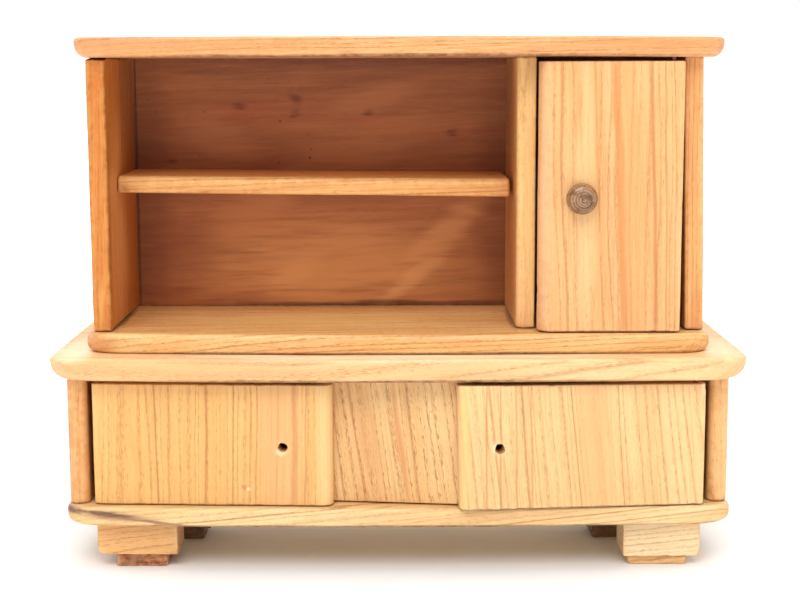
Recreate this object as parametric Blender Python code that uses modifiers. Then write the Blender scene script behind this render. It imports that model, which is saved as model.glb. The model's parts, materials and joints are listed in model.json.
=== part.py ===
"""Dolls'-house sideboard cabinet in two stacked sections, made of plain boards.

The lower section has two doors that close on a centre panel, the upper section has an
open bay with one shelf and a cupboard with one door.  Every board, foot, door, pin and
brad is its own solid.  Units are metres, +Z is up, the front faces -Y, and the origin
is at the middle of the footprint, on the surface that the cabinet stands on.
"""
import math

import bmesh
import bpy
from mathutils import Matrix, Vector

MM = 0.001

# ---- driving dimensions --------------------------------------------------------------
OVERALL_DEPTH = 61.0 * MM        # front of the bowed lower top to the rear edges
FRONT_PLANE = -17.2 * MM         # front edges of the upper side boards
REAR_PLANE = OVERALL_DEPTH / 2   # rear edges of the four long boards
GAP = 0.2 * MM                   # between pieces that meet
STOCK = 4.9 * MM                 # planed thickness of the upright boards

PAD_HEIGHT = 3.2 * MM
FOOT_HEIGHT = 9.3 * MM
BOTTOM_THICK = 5.0 * MM
LOWER_OPENING = 33.8 * MM
LOWER_TOP_THICK = 6.0 * MM
UPPER_BASE_THICK = 5.25 * MM
UPPER_OPENING = 70.75 * MM
TOP_THICK = 5.1 * MM

# heights of the joints between the layers, from the standing surface up
FOOT_TOP = PAD_HEIGHT + FOOT_HEIGHT
LOWER_FLOOR = FOOT_TOP + BOTTOM_THICK
LOWER_CEILING = LOWER_FLOOR + LOWER_OPENING
SEAM = LOWER_CEILING + LOWER_TOP_THICK
UPPER_FLOOR = SEAM + UPPER_BASE_THICK
UPPER_CEILING = UPPER_FLOOR + UPPER_OPENING
TOP_OF_CABINET = UPPER_CEILING + TOP_THICK

# inner faces of the two sections
UPPER_LEFT_OUTER = -79.6 * MM
UPPER_RIGHT_OUTER = 79.9 * MM
UPPER_RIGHT_LEAN = 1.6 * MM      # the right side leans in by this much at its top
DIVIDER_LEFT = 31.0 * MM
DIVIDER_SETBACK = 3.0 * MM
LOWER_OUTER = 86.45 * MM
LOWER_SIDE_THICK = 5.3 * MM
LOWER_SIDE_PROUD = 4.5 * MM      # the lower sides stand this far in front of the upper

BACK_THICK = 2.4 * MM            # thin ply backs, nailed on the rear edges of the sides
BACK_INSET = 0.5 * MM            # room for the brad heads behind them
SIDE_REAR = REAR_PLANE - BACK_INSET - BACK_THICK

SHELF_LEFT_HEIGHT = 97.5 * MM    # underside of the shelf at its left end
SHELF_DROP = 1.1 * MM            # the right end hangs lower by this
SHELF_THICK = 4.8 * MM
SHELF_SETBACK = 13.6 * MM

UPPER_DOOR_THICK = 4.8 * MM
LOWER_DOOR_THICK = 4.5 * MM
DOOR_LIFT = 0.25 * MM            # gap under each door
LOWER_HEADROOM = 1.5 * MM        # gaps above the doors
UPPER_HEADROOM = 1.2 * MM
HINGE_EDGE_ROUND = 1.5 * MM
PIN_RADIUS = 0.6 * MM
PIN_PLAY = 0.1 * MM              # radial clearance of a pin in a door
PIN_LENGTH = 6.4 * MM
PIN_IN_BOARD = 3.2 * MM
PIN_POINT = 0.8 * MM
BRAD_RADIUS = 0.4 * MM
BRAD_HEAD_RADIUS = 0.8 * MM
BRAD_HEAD_THICK = 0.3 * MM
BRAD_LENGTH = 7.0 * MM
BRAD_POINT = 0.8 * MM
BRAD_FROM_END = 8.0 * MM         # outermost brads from the ends of their board
KNOB_RADIUS = 4.05 * MM
KNOB_PROUD = 6.6 * MM            # tip of the knob in front of the door
KNOB_BORE = 1.2 * MM             # radius of the knob holes in the doors
KNOB_HEIGHT = 97.4 * MM
ROUND_STEPS = 14
BRAD_STEPS = 8

# wood and metal colours: base colour, roughness, metallic
HONEY = ((0.86, 0.58, 0.30), 0.42, 0.0)
PALE = ((0.90, 0.66, 0.38), 0.45, 0.0)
TAN = ((0.82, 0.52, 0.27), 0.45, 0.0)
PLY = ((0.56, 0.33, 0.18), 0.6, 0.0)
RED_WOOD = ((0.55, 0.27, 0.14), 0.55, 0.0)
TURNED = ((0.50, 0.33, 0.22), 0.35, 0.0)
WIRE = ((0.45, 0.44, 0.42), 0.4, 1.0)


def start_clean():
    """Remove whatever the opened scene holds."""
    for old in list(bpy.data.objects):
        bpy.data.objects.remove(old, do_unlink=True)


def new_collection(name):
    """Make a collection in the scene and return it."""
    made = bpy.data.collections.new(name)
    bpy.context.scene.collection.children.link(made)
    return made


start_clean()
PARTS = new_collection("two_part_cabinet")
CUTTERS = new_collection("cutters")


def finish_of(name, look):
    """A Principled material of the piece's own."""
    colour, roughness, metallic = look
    material = bpy.data.materials.new(name + "_finish")
    material.use_nodes = True
    shader = material.node_tree.nodes["Principled BSDF"]
    shader.inputs["Base Color"].default_value = (*colour, 1.0)
    shader.inputs["Roughness"].default_value = roughness
    shader.inputs["Metallic"].default_value = metallic
    material.diffuse_color = (*colour, 1.0)
    return material


def add_piece(name, mesh, look, location=(0, 0, 0), parent=None):
    """Put a mesh in the scene as one named sub-part."""
    piece = bpy.data.objects.new(name, mesh)
    PARTS.objects.link(piece)
    piece.location = location
    piece.parent = parent
    mesh.materials.clear()
    mesh.materials.append(finish_of(name, look))
    mesh.shade_smooth()
    mesh.set_sharp_from_angle(angle=math.radians(35))
    return piece


def block_mesh(name, low, high):
    """A box between two corners, from a cube primitive."""
    low, high = Vector(low), Vector(high)
    size = high - low
    shape = bmesh.new()
    bmesh.ops.create_cube(shape, size=1.0)
    place = Matrix.Translation((low + high) / 2) @ Matrix.Diagonal((*size, 1.0))
    bmesh.ops.transform(shape, matrix=place, verts=shape.verts)
    mesh = bpy.data.meshes.new(name)
    shape.to_mesh(mesh)
    shape.free()
    return mesh


def outline_mesh(name, points, bottom, top):
    """A flat outline of (x, y) points, extruded from bottom to top and welded."""
    curve = bpy.data.curves.new(name, "CURVE")
    curve.dimensions = "2D"
    curve.fill_mode = "BOTH"
    curve.extrude = (top - bottom) / 2
    line = curve.splines.new("POLY")
    line.points.add(len(points) - 1)
    for spot, (x, y) in zip(line.points, points):
        spot.co = (x, y, 0.0, 1.0)
    line.use_cyclic_u = True
    draft = bpy.data.objects.new(name + "_outline", curve)
    bpy.context.scene.collection.objects.link(draft)
    bpy.context.view_layer.update()
    evaluated = draft.evaluated_get(bpy.context.evaluated_depsgraph_get())
    mesh = bpy.data.meshes.new_from_object(evaluated)
    bpy.data.objects.remove(draft, do_unlink=True)
    shape = bmesh.new()
    shape.from_mesh(mesh)
    bmesh.ops.remove_doubles(shape, verts=shape.verts, dist=0.001 * MM)
    bmesh.ops.translate(shape, verts=shape.verts, vec=(0, 0, (bottom + top) / 2))
    bmesh.ops.recalc_face_normals(shape, faces=shape.faces)
    shape.to_mesh(mesh)
    shape.free()
    return mesh


def round_edges(piece, width, rule, segments=4):
    """Bevel the edges by rule(middle, direction, normals), a share of width from 0 to 1."""
    mesh = piece.data
    shape = bmesh.new()
    shape.from_mesh(mesh)
    shape.normal_update()
    weight = shape.edges.layers.float.get("bevel_weight_edge")
    weight = weight or shape.edges.layers.float.new("bevel_weight_edge")
    for edge in shape.edges:
        ends = [corner.co for corner in edge.verts]
        middle = (ends[0] + ends[1]) / 2
        direction = (ends[1] - ends[0]).normalized()
        normals = [face.normal.copy() for face in edge.link_faces]
        edge[weight] = rule(middle, direction, normals)
    shape.to_mesh(mesh)
    shape.free()
    bevel = piece.modifiers.new("rounded_edges", "BEVEL")
    bevel.limit_method = "WEIGHT"
    bevel.width = width
    bevel.segments = segments
    bevel.use_clamp_overlap = True
    return piece


def cut_from(piece, low, high, radius, steps=ROUND_STEPS):
    """Drill a round hole of this radius between two points, in the piece's own frame."""
    low, high = Vector(low), Vector(high)
    axis = high - low
    shape = bmesh.new()
    bmesh.ops.create_cone(shape, cap_ends=True, segments=steps, radius1=radius,
                          radius2=radius, depth=axis.length)
    turn = Vector((0, 0, 1)).rotation_difference(axis.normalized()).to_matrix().to_4x4()
    place = Matrix.Translation((low + high) / 2) @ turn
    bmesh.ops.transform(shape, matrix=place, verts=shape.verts)
    mesh = bpy.data.meshes.new(piece.name + "_drill")
    shape.to_mesh(mesh)
    shape.free()
    cutter = bpy.data.objects.new(piece.name + "_drill", mesh)
    CUTTERS.objects.link(cutter)
    cutter.parent = piece
    cutter.hide_render = True
    cutter.display_type = "WIRE"
    hole = piece.modifiers.new("hole", "BOOLEAN")
    hole.operation = "DIFFERENCE"
    hole.solver = "EXACT"
    hole.object = cutter
    return cutter


# ---- the four long boards with bowed fronts -------------------------------------------
def bowed_outline(half, front, bows, corner_wide, corners_deep, middle=0.0):
    """Plan of a board about x = middle: straight back and ends, a bowed, rounded front.

    bows and corners_deep are for the left and the right half.
    """
    def front_at(x):
        hand = 0 if x < 0 else 1
        edge = front + bows[hand] * (x / half) ** 2
        into = (abs(x) - (half - corner_wide)) / corner_wide
        if into > 0:
            edge += corners_deep[hand] * (1 - math.sqrt(max(0.0, 1 - into * into)))
        return edge

    corner_steps = 6
    bow_steps = 10
    straight = half - corner_wide
    rounding = [straight + corner_wide * math.sin(math.pi / 2 * step / corner_steps)
                for step in range(corner_steps, 0, -1)]
    bowed = [straight - 2 * straight * step / bow_steps for step in range(bow_steps + 1)]
    along = rounding + bowed + [-x for x in reversed(rounding)]
    plan = [(-half, REAR_PLANE), (half, REAR_PLANE)]
    plan += [(x, front_at(x)) for x in along]
    return [(middle + x, y) for x, y in plan]


def long_board(name, look, plan, bottom, top, under_front, under_end, over):
    """A bowed board whose lower edge is rounded more at the ends than at the front."""
    piece = add_piece(name, outline_mesh(name, plan, bottom, top), look)
    widest = max(under_front, under_end, over)

    def rounding(middle, direction, normals):
        if abs(direction.z) > 0.5 or middle.y > REAR_PLANE - GAP:
            return 0.0
        if middle.z > (bottom + top) / 2:
            return over / widest
        endward = max(abs(normal.x) for normal in normals) ** 2
        return (under_front + (under_end - under_front) * endward) / widest

    return round_edges(piece, widest, rounding, segments=3)


top_board = long_board(
    "top_board", HONEY,
    bowed_outline(half=82.9 * MM, front=FRONT_PLANE - 6.4 * MM, bows=(3.0 * MM, 2.0 * MM),
                  corner_wide=8 * MM, corners_deep=(5 * MM, 5 * MM), middle=0.5 * MM),
    bottom=UPPER_CEILING + GAP, top=TOP_OF_CABINET,
    under_front=1.0 * MM, under_end=3.2 * MM, over=0.6 * MM)
upper_base = long_board(
    "upper_base_board", HONEY,
    bowed_outline(half=81.3 * MM, front=FRONT_PLANE - 6.5 * MM, bows=(4.2 * MM, 1.6 * MM),
                  corner_wide=9 * MM, corners_deep=(3.5 * MM, 5 * MM)),
    bottom=SEAM + GAP, top=UPPER_FLOOR,
    under_front=1.2 * MM, under_end=2.4 * MM, over=1.2 * MM)
lower_top = long_board(
    "lower_top_board", PALE,
    bowed_outline(half=90.0 * MM, front=-REAR_PLANE, bows=(4.4 * MM, 1.9 * MM),
                  corner_wide=9 * MM, corners_deep=(4.2 * MM, 6 * MM)),
    bottom=LOWER_CEILING + GAP, top=SEAM,
    under_front=1.2 * MM, under_end=4.4 * MM, over=0.9 * MM)
bottom_board = long_board(
    "bottom_board", PALE,
    bowed_outline(half=87.2 * MM, front=FRONT_PLANE - 10.5 * MM, bows=(3.2 * MM, 2.6 * MM),
                  corner_wide=8 * MM, corners_deep=(5 * MM, 5 * MM)),
    bottom=FOOT_TOP + GAP, top=LOWER_FLOOR,
    under_front=1.1 * MM, under_end=2.3 * MM, over=0.9 * MM)


# ---- upright boards -----------------------------------------------------------------
def upright(name, look, left, right, front, rear, bottom, top, nose, lean=0.0):
    """A standing board with its front edges rounded by nose; lean moves its top in x."""
    mesh = block_mesh(name, (left, front, bottom), (right, rear, top))
    for corner in mesh.vertices:
        if corner.co.z > (bottom + top) / 2:
            corner.co.x += lean
    piece = add_piece(name, mesh, look)

    def rounding(middle, direction, normals):
        at_front = abs(middle.y - front) < GAP
        return 1.0 if at_front and abs(direction.z) > 0.5 else 0.0

    return round_edges(piece, nose, rounding)


upper_left_side = upright(
    "upper_left_side", TAN, UPPER_LEFT_OUTER, UPPER_LEFT_OUTER + STOCK,
    FRONT_PLANE, SIDE_REAR, UPPER_FLOOR + GAP, UPPER_CEILING, 0.9 * MM)
upper_right_side = upright(
    "upper_right_side", HONEY, UPPER_RIGHT_OUTER - STOCK, UPPER_RIGHT_OUTER,
    FRONT_PLANE, SIDE_REAR, UPPER_FLOOR + GAP, UPPER_CEILING, 0.9 * MM, -UPPER_RIGHT_LEAN)
divider = upright(
    "divider", HONEY, DIVIDER_LEFT, DIVIDER_LEFT + STOCK, FRONT_PLANE + DIVIDER_SETBACK,
    SIDE_REAR, UPPER_FLOOR + GAP, UPPER_CEILING, 1.6 * MM)
lower_left_side = upright(
    "lower_left_side", HONEY, -LOWER_OUTER, -LOWER_OUTER + LOWER_SIDE_THICK,
    FRONT_PLANE - LOWER_SIDE_PROUD, SIDE_REAR, LOWER_FLOOR + GAP, LOWER_CEILING, 2.5 * MM)
lower_right_side = upright(
    "lower_right_side", HONEY, LOWER_OUTER - LOWER_SIDE_THICK, LOWER_OUTER,
    FRONT_PLANE - LOWER_SIDE_PROUD, SIDE_REAR, LOWER_FLOOR + GAP, LOWER_CEILING, 2.5 * MM)


# ---- shelf, centre panel, door stop and backs -----------------------------------------
def make_shelf():
    """The shelf of the open bay, set back and lower at its right end."""
    left = UPPER_LEFT_OUTER + STOCK + GAP
    right = DIVIDER_LEFT - 1.0 * MM
    front = FRONT_PLANE + SHELF_SETBACK
    low = (left, front, SHELF_LEFT_HEIGHT)
    high = (right, SIDE_REAR - GAP, SHELF_LEFT_HEIGHT + SHELF_THICK)
    mesh = block_mesh("shelf", low, high)
    for corner in mesh.vertices:
        if corner.co.x > 0:
            corner.co.z -= SHELF_DROP
    piece = add_piece("shelf", mesh, HONEY)

    def rounding(middle, direction, normals):
        if abs(middle.y - front) > GAP:
            return 0.0
        return 1.0 if abs(direction.z) > 0.5 else 0.5

    return round_edges(piece, 2.0 * MM, rounding)


def make_centre_panel():
    """The panel between the lower doors, set askew so that its right edge stands out."""
    width = 40.0 * MM
    low = (-width / 2, 0.0, LOWER_FLOOR + 2 * GAP)
    high = (width / 2, STOCK, LOWER_CEILING)
    piece = add_piece("centre_panel", block_mesh("centre_panel", low, high), HONEY,
                      location=(-1.0 * MM, FRONT_PLANE - 5.45 * MM, 0))
    piece.rotation_euler.z = -math.radians(7.0)

    def rounding(middle, direction, normals):
        return 1.0 if middle.y < GAP and abs(direction.z) > 0.5 else 0.0

    return round_edges(piece, 0.8 * MM, rounding, segments=3)


def make_door_stop():
    """A strip on the floor of the cupboard, which the upper door closes against."""
    front = FRONT_PLANE + 1.3 * MM
    low = (42 * MM, front, UPPER_FLOOR + GAP)
    high = (56 * MM, front + 3.0 * MM, UPPER_FLOOR + 3.0 * MM)
    piece = add_piece("upper_door_stop", block_mesh("upper_door_stop", low, high), HONEY)
    return round_edges(piece, 0.4 * MM, lambda middle, direction, normals:
                       1.0 if middle.z > UPPER_FLOOR + 2 * MM else 0.0, segments=2)


def make_back(name, left, right, bottom, top):
    """A thin back that covers the rear edges of the boards beside it."""
    low = (left, SIDE_REAR + GAP, bottom + 2 * GAP)
    high = (right, SIDE_REAR + BACK_THICK, top - GAP)
    piece = add_piece(name, block_mesh(name, low, high), PLY)
    return round_edges(piece, 0.3 * MM, lambda middle, direction, normals: 1.0, segments=2)


make_shelf()
make_centre_panel()
make_door_stop()
upper_back = make_back("upper_back_panel", UPPER_LEFT_OUTER, UPPER_RIGHT_OUTER - 1.6 * MM,
                       UPPER_FLOOR, UPPER_CEILING)
lower_back = make_back("lower_back_panel", -LOWER_OUTER, LOWER_OUTER, LOWER_FLOOR,
                       LOWER_CEILING)


# ---- feet ---------------------------------------------------------------------------
def make_foot(corner_name, outer, inner, front, pad_height, pad_insets):
    """A foot block with its lower outer corner cut in, and the pad glued under it.

    pad_insets are the pad's distances from the block's outer and inner end.
    """
    outward = 1 if outer > 0 else -1
    rear = front + FOOT_DEEP
    low = (min(outer, inner), front, pad_height + GAP)
    high = (max(outer, inner), rear, FOOT_TOP)
    block = add_piece(corner_name + "_foot_block", block_mesh("foot", low, high), HONEY)

    def block_rounding(middle, direction, normals):
        low_outer = middle.z < pad_height + 2 * GAP and abs(middle.x - outer) < GAP
        return 1.0 if low_outer and abs(direction.y) > 0.5 else 0.22

    round_edges(block, 1.6 * MM, block_rounding, segments=2)
    pad_outer = outer - outward * pad_insets[0]
    pad_inner = inner + outward * pad_insets[1]
    low = (min(pad_outer, pad_inner), front + 1.0 * MM, 0.0)
    high = (max(pad_outer, pad_inner), rear - 1.5 * MM, pad_height)
    look = RED_WOOD if corner_name == "front_left" else TAN
    pad = add_piece(corner_name + "_foot_pad", block_mesh("pad", low, high), look)
    round_edges(pad, 0.5 * MM, lambda middle, direction, normals: 1.0, segments=2)


FOOT_DEEP = 13.0 * MM
FRONT_FOOT_FACE = FRONT_PLANE - 4.0 * MM
REAR_FOOT_FACE = FRONT_PLANE + 20.0 * MM
make_foot("front_left", -79.5 * MM, -58.4 * MM, FRONT_FOOT_FACE, 3.5 * MM,
          (4.7 * MM, 2.6 * MM))
make_foot("front_right", 79.6 * MM, 59.4 * MM, FRONT_FOOT_FACE, 2.4 * MM,
          (3.1 * MM, 1.2 * MM))
make_foot("rear_left", -73.0 * MM, -52.4 * MM, REAR_FOOT_FACE, PAD_HEIGHT,
          (4.3 * MM, 1.8 * MM))
make_foot("rear_right", 73.0 * MM, 52.4 * MM, REAR_FOOT_FACE, PAD_HEIGHT,
          (4.3 * MM, 1.8 * MM))


# ---- doors --------------------------------------------------------------------------
def make_hinge(name, x, y, closed_turn):
    """An empty on a door's axis, turned as far as the door stands when it is at rest."""
    hinge = bpy.data.objects.new(name, None)
    PARTS.objects.link(hinge)
    hinge.location = (x, y, 0)
    hinge.rotation_euler.z = math.radians(closed_turn)
    return hinge


def make_door(name, look, hinge, reach, thick, bottom, top, free_round, hinge_lap=0.0):
    """A door whose body reaches from the axis to x = reach, drilled for its two pins."""
    hand = 1 if reach > 0 else -1
    hinge_edge = -hand * (thick / 2 + hinge_lap)
    low = (min(hinge_edge, reach), -thick / 2, bottom)
    high = (max(hinge_edge, reach), thick / 2, top)
    piece = add_piece(name, block_mesh(name, low, high), look, parent=hinge)
    widest = max(HINGE_EDGE_ROUND, free_round)

    def rounding(middle, direction, normals):
        if abs(direction.z) > 0.5:
            if abs(middle.x - hinge_edge) < GAP:
                return HINGE_EDGE_ROUND / widest
            return free_round / widest if middle.y < 0 else 0.5 * MM / widest
        return 0.35 * MM / widest if middle.y < 0 else 0.0

    round_edges(piece, widest, rounding)
    depth = PIN_LENGTH - PIN_IN_BOARD + 0.8 * MM
    cut_from(piece, (0, 0, bottom - MM), (0, 0, bottom + depth), PIN_RADIUS + PIN_PLAY)
    cut_from(piece, (0, 0, top - depth), (0, 0, top + MM), PIN_RADIUS + PIN_PLAY)
    return piece


def make_pin(name, board, x, y, board_face, into_door):
    """A headless pin set in a board; into_door is +1 if it stands up into the door."""
    base = board_face - into_door * PIN_IN_BOARD
    tip = base + into_door * (PIN_LENGTH + PIN_POINT)
    shape = bmesh.new()
    bmesh.ops.create_cone(shape, cap_ends=True, segments=ROUND_STEPS, radius1=PIN_RADIUS,
                          radius2=PIN_RADIUS, depth=PIN_LENGTH + PIN_POINT)
    mesh = bpy.data.meshes.new(name)
    shape.to_mesh(mesh)
    shape.free()
    pin = add_piece(name, mesh, WIRE, location=(x, y, (base + tip) / 2))
    round_edges(pin, 0.2 * MM, lambda middle, direction, normals:
                1.0 if abs(direction.z) < 0.5 else 0.0, segments=2)
    cut_from(board, (x, y, base - into_door * GAP), (x, y, board_face + into_door * MM),
             PIN_RADIUS + GAP / 2)
    return pin


def hang_door(name, axis, closed_turn, reach, thick, floor, ceiling, headroom, boards,
              free_round, hinge_lap=0.0):
    """A door with its hinge at axis (x, y) and the pins in the boards below and above."""
    axis_x, axis_y = axis
    hinge = make_hinge(name + "_hinge", axis_x, axis_y, closed_turn)
    door = make_door(name, PALE, hinge, reach, thick, floor + DOOR_LIFT,
                     ceiling - headroom, free_round, hinge_lap)
    make_pin(name + "_lower_pin", boards[0], axis_x, axis_y, floor, 1)
    make_pin(name + "_upper_pin", boards[1], axis_x, axis_y, ceiling, -1)
    return hinge, door


upper_hinge, upper_door = hang_door(
    "upper_door", axis=(70.2 * MM, FRONT_PLANE - 1.6 * MM), closed_turn=0.0,
    reach=-34.0 * MM, thick=UPPER_DOOR_THICK, floor=UPPER_FLOOR, ceiling=UPPER_CEILING,
    headroom=UPPER_HEADROOM, boards=(upper_base, top_board), free_round=3.6 * MM,
    hinge_lap=0.4 * MM)
left_hinge, left_door = hang_door(
    "lower_left_door", axis=(-77.3 * MM, FRONT_PLANE - 2.95 * MM), closed_turn=-2.9,
    reach=60.4 * MM, thick=LOWER_DOOR_THICK, floor=LOWER_FLOOR, ceiling=LOWER_CEILING,
    headroom=LOWER_HEADROOM, boards=(bottom_board, lower_top), free_round=2.6 * MM)
right_hinge, right_door = hang_door(
    "lower_right_door", axis=(77.2 * MM, FRONT_PLANE - 5.45 * MM), closed_turn=4.9,
    reach=-62.4 * MM, thick=LOWER_DOOR_THICK, floor=LOWER_FLOOR, ceiling=LOWER_CEILING,
    headroom=LOWER_HEADROOM, boards=(bottom_board, lower_top), free_round=2.6 * MM)

# knob holes: the upper door keeps its knob, the lower doors have lost theirs
LEFT_KNOB_HOLE = (47.5 * MM, 33.3 * MM)
RIGHT_KNOB_HOLE = (-51.5 * MM, 33.8 * MM)
UPPER_KNOB_HOLE = (-23.2 * MM, KNOB_HEIGHT)
for door, (hole_x, hole_z) in ((left_door, LEFT_KNOB_HOLE), (right_door, RIGHT_KNOB_HOLE),
                               (upper_door, UPPER_KNOB_HOLE)):
    cut_from(door, (hole_x, -5 * MM, hole_z), (hole_x, 5 * MM, hole_z), KNOB_BORE)


def turned_mesh(name, profile):
    """An open profile of (radius, height) points from the front to the rear of a turning."""
    shape = bmesh.new()
    spots = [shape.verts.new((radius, 0.0, height)) for radius, height in profile]
    for first, second in zip(spots, spots[1:]):
        shape.edges.new((first, second))
    mesh = bpy.data.meshes.new(name)
    shape.to_mesh(mesh)
    shape.free()
    return mesh


def turn_round(piece, steps):
    """Turn a profile about its own z axis."""
    screw = piece.modifiers.new("turned", "SCREW")
    screw.axis = "Z"
    screw.steps = steps
    screw.render_steps = steps
    screw.use_merge_vertices = True
    screw.merge_threshold = 0.01 * MM
    screw.use_smooth_shade = True


def make_knob(hinge, x, z, door_thick):
    """A turned knob: a spigot through the door, a round body and a ringed, domed face."""
    spigot = KNOB_BORE - GAP / 2
    waist = 1.4 * MM
    neck = 3.1 * MM
    tip = [(0.0, KNOB_PROUD), (0.45 * MM, KNOB_PROUD - 0.1 * MM),
           (0.7 * MM, KNOB_PROUD - 0.5 * MM), (1.2 * MM, KNOB_PROUD - 0.5 * MM),
           (1.5 * MM, KNOB_PROUD - 0.9 * MM)]
    steps = 6
    dome = [(1.9 * MM + (KNOB_RADIUS - 1.9 * MM) * math.sin(math.pi / 2 * step / steps),
             waist + (KNOB_PROUD - 1.1 * MM - waist) * math.cos(math.pi / 2 * step / steps))
            for step in range(steps + 1)]
    seat = [(neck, GAP), (spigot, GAP), (spigot, -door_thick), (0.0, -door_thick)]
    knob = add_piece("upper_door_knob", turned_mesh("upper_door_knob", tip + dome + seat),
                     TURNED, location=(x, -door_thick / 2, z), parent=hinge)
    knob.rotation_euler.x = math.pi / 2
    turn_round(knob, 24)


make_knob(upper_hinge, UPPER_KNOB_HOLE[0], UPPER_KNOB_HOLE[1], UPPER_DOOR_THICK)


# ---- brads in the backs ---------------------------------------------------------------
def drive_brad(name, x, z, back, board):
    """A brad through a back into the board in front of it, with its head on the back."""
    rear = SIDE_REAR + BACK_THICK
    profile = [(0.0, BRAD_HEAD_THICK + GAP / 2), (BRAD_HEAD_RADIUS, BRAD_HEAD_THICK),
               (BRAD_HEAD_RADIUS, GAP / 2), (BRAD_RADIUS, GAP / 2),
               (BRAD_RADIUS, BRAD_POINT - BRAD_LENGTH), (0.0, -BRAD_LENGTH)]
    brad = add_piece(name, turned_mesh(name, profile), WIRE, location=(x, rear, z))
    brad.rotation_euler.x = -math.pi / 2
    turn_round(brad, BRAD_STEPS)
    hole = BRAD_RADIUS + GAP / 2
    cut_from(back, (x, rear - BACK_THICK - MM, z), (x, rear + MM, z), hole, BRAD_STEPS)
    cut_from(board, (x, rear - BRAD_LENGTH - GAP, z), (x, SIDE_REAR + MM, z), hole, BRAD_STEPS)


for section, back, floor, ceiling, uprights in (
        ("upper", upper_back, UPPER_FLOOR, UPPER_CEILING,
         ((upper_left_side, UPPER_LEFT_OUTER + STOCK / 2, 0.0),
          (upper_right_side, UPPER_RIGHT_OUTER - STOCK / 2, -UPPER_RIGHT_LEAN))),
        ("lower", lower_back, LOWER_FLOOR, LOWER_CEILING,
         ((lower_left_side, -LOWER_OUTER + LOWER_SIDE_THICK / 2, 0.0),
          (lower_right_side, LOWER_OUTER - LOWER_SIDE_THICK / 2, 0.0)))):
    rows = 3 if section == "upper" else 2
    span = ceiling - floor - 2 * BRAD_FROM_END
    for board, middle_x, lean in uprights:
        for row in range(rows):
            rise = BRAD_FROM_END + span * row / (rows - 1)
            shift = lean * rise / (ceiling - floor)
            hand = "left" if middle_x < 0 else "right"
            drive_brad("%s_%s_brad_%d" % (section, hand, row + 1), middle_x + shift,
                       floor + rise, back, board)
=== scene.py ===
"""Looks of a small two-part wooden cabinet for a dolls' house.

Every board, door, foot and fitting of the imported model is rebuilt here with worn,
hand-sanded edges and a procedural wood of its own, in metres, in the model's frame.
"""
from __future__ import annotations

import json
import logging
import math
import random
from dataclasses import dataclass, replace
from enum import Enum
from typing import Callable, Iterable, Sequence, Union

import bmesh
import bpy
from mathutils import Euler, Matrix, Vector, noise

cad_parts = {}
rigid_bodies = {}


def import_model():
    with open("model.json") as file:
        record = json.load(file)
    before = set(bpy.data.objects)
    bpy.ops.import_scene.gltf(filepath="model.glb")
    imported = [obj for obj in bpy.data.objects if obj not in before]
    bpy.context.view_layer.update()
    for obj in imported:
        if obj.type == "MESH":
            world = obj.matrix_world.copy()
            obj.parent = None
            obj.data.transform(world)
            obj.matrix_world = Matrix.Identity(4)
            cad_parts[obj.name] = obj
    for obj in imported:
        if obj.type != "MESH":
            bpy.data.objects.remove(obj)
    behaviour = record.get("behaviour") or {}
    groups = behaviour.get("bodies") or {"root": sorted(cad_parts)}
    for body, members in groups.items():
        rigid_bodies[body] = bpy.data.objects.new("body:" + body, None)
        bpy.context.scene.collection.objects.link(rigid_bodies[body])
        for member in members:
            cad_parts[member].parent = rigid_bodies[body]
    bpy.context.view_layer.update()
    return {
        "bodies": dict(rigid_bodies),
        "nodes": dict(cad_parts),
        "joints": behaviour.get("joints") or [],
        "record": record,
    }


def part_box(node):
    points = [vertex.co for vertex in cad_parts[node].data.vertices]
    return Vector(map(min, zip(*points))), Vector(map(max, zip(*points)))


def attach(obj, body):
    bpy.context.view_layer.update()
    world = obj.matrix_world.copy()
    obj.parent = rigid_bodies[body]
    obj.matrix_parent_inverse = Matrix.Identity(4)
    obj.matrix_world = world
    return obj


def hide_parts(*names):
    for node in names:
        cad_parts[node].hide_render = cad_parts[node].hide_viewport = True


LOG = logging.getLogger("cabinet")
MM = 0.001
CABINET = "cabinet"
UNEVENNESS_SEED = 3
BOARD_SLOT = "varnished_board"
SHARP_EDGE = math.radians(38)

Triple = tuple[float, float, float]
Colour = Triple
Point = tuple[float, float]
Bend = Callable[[Vector], Vector]
Socket = bpy.types.NodeSocket
Value = Union[bpy.types.NodeSocket, float, tuple]


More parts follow.
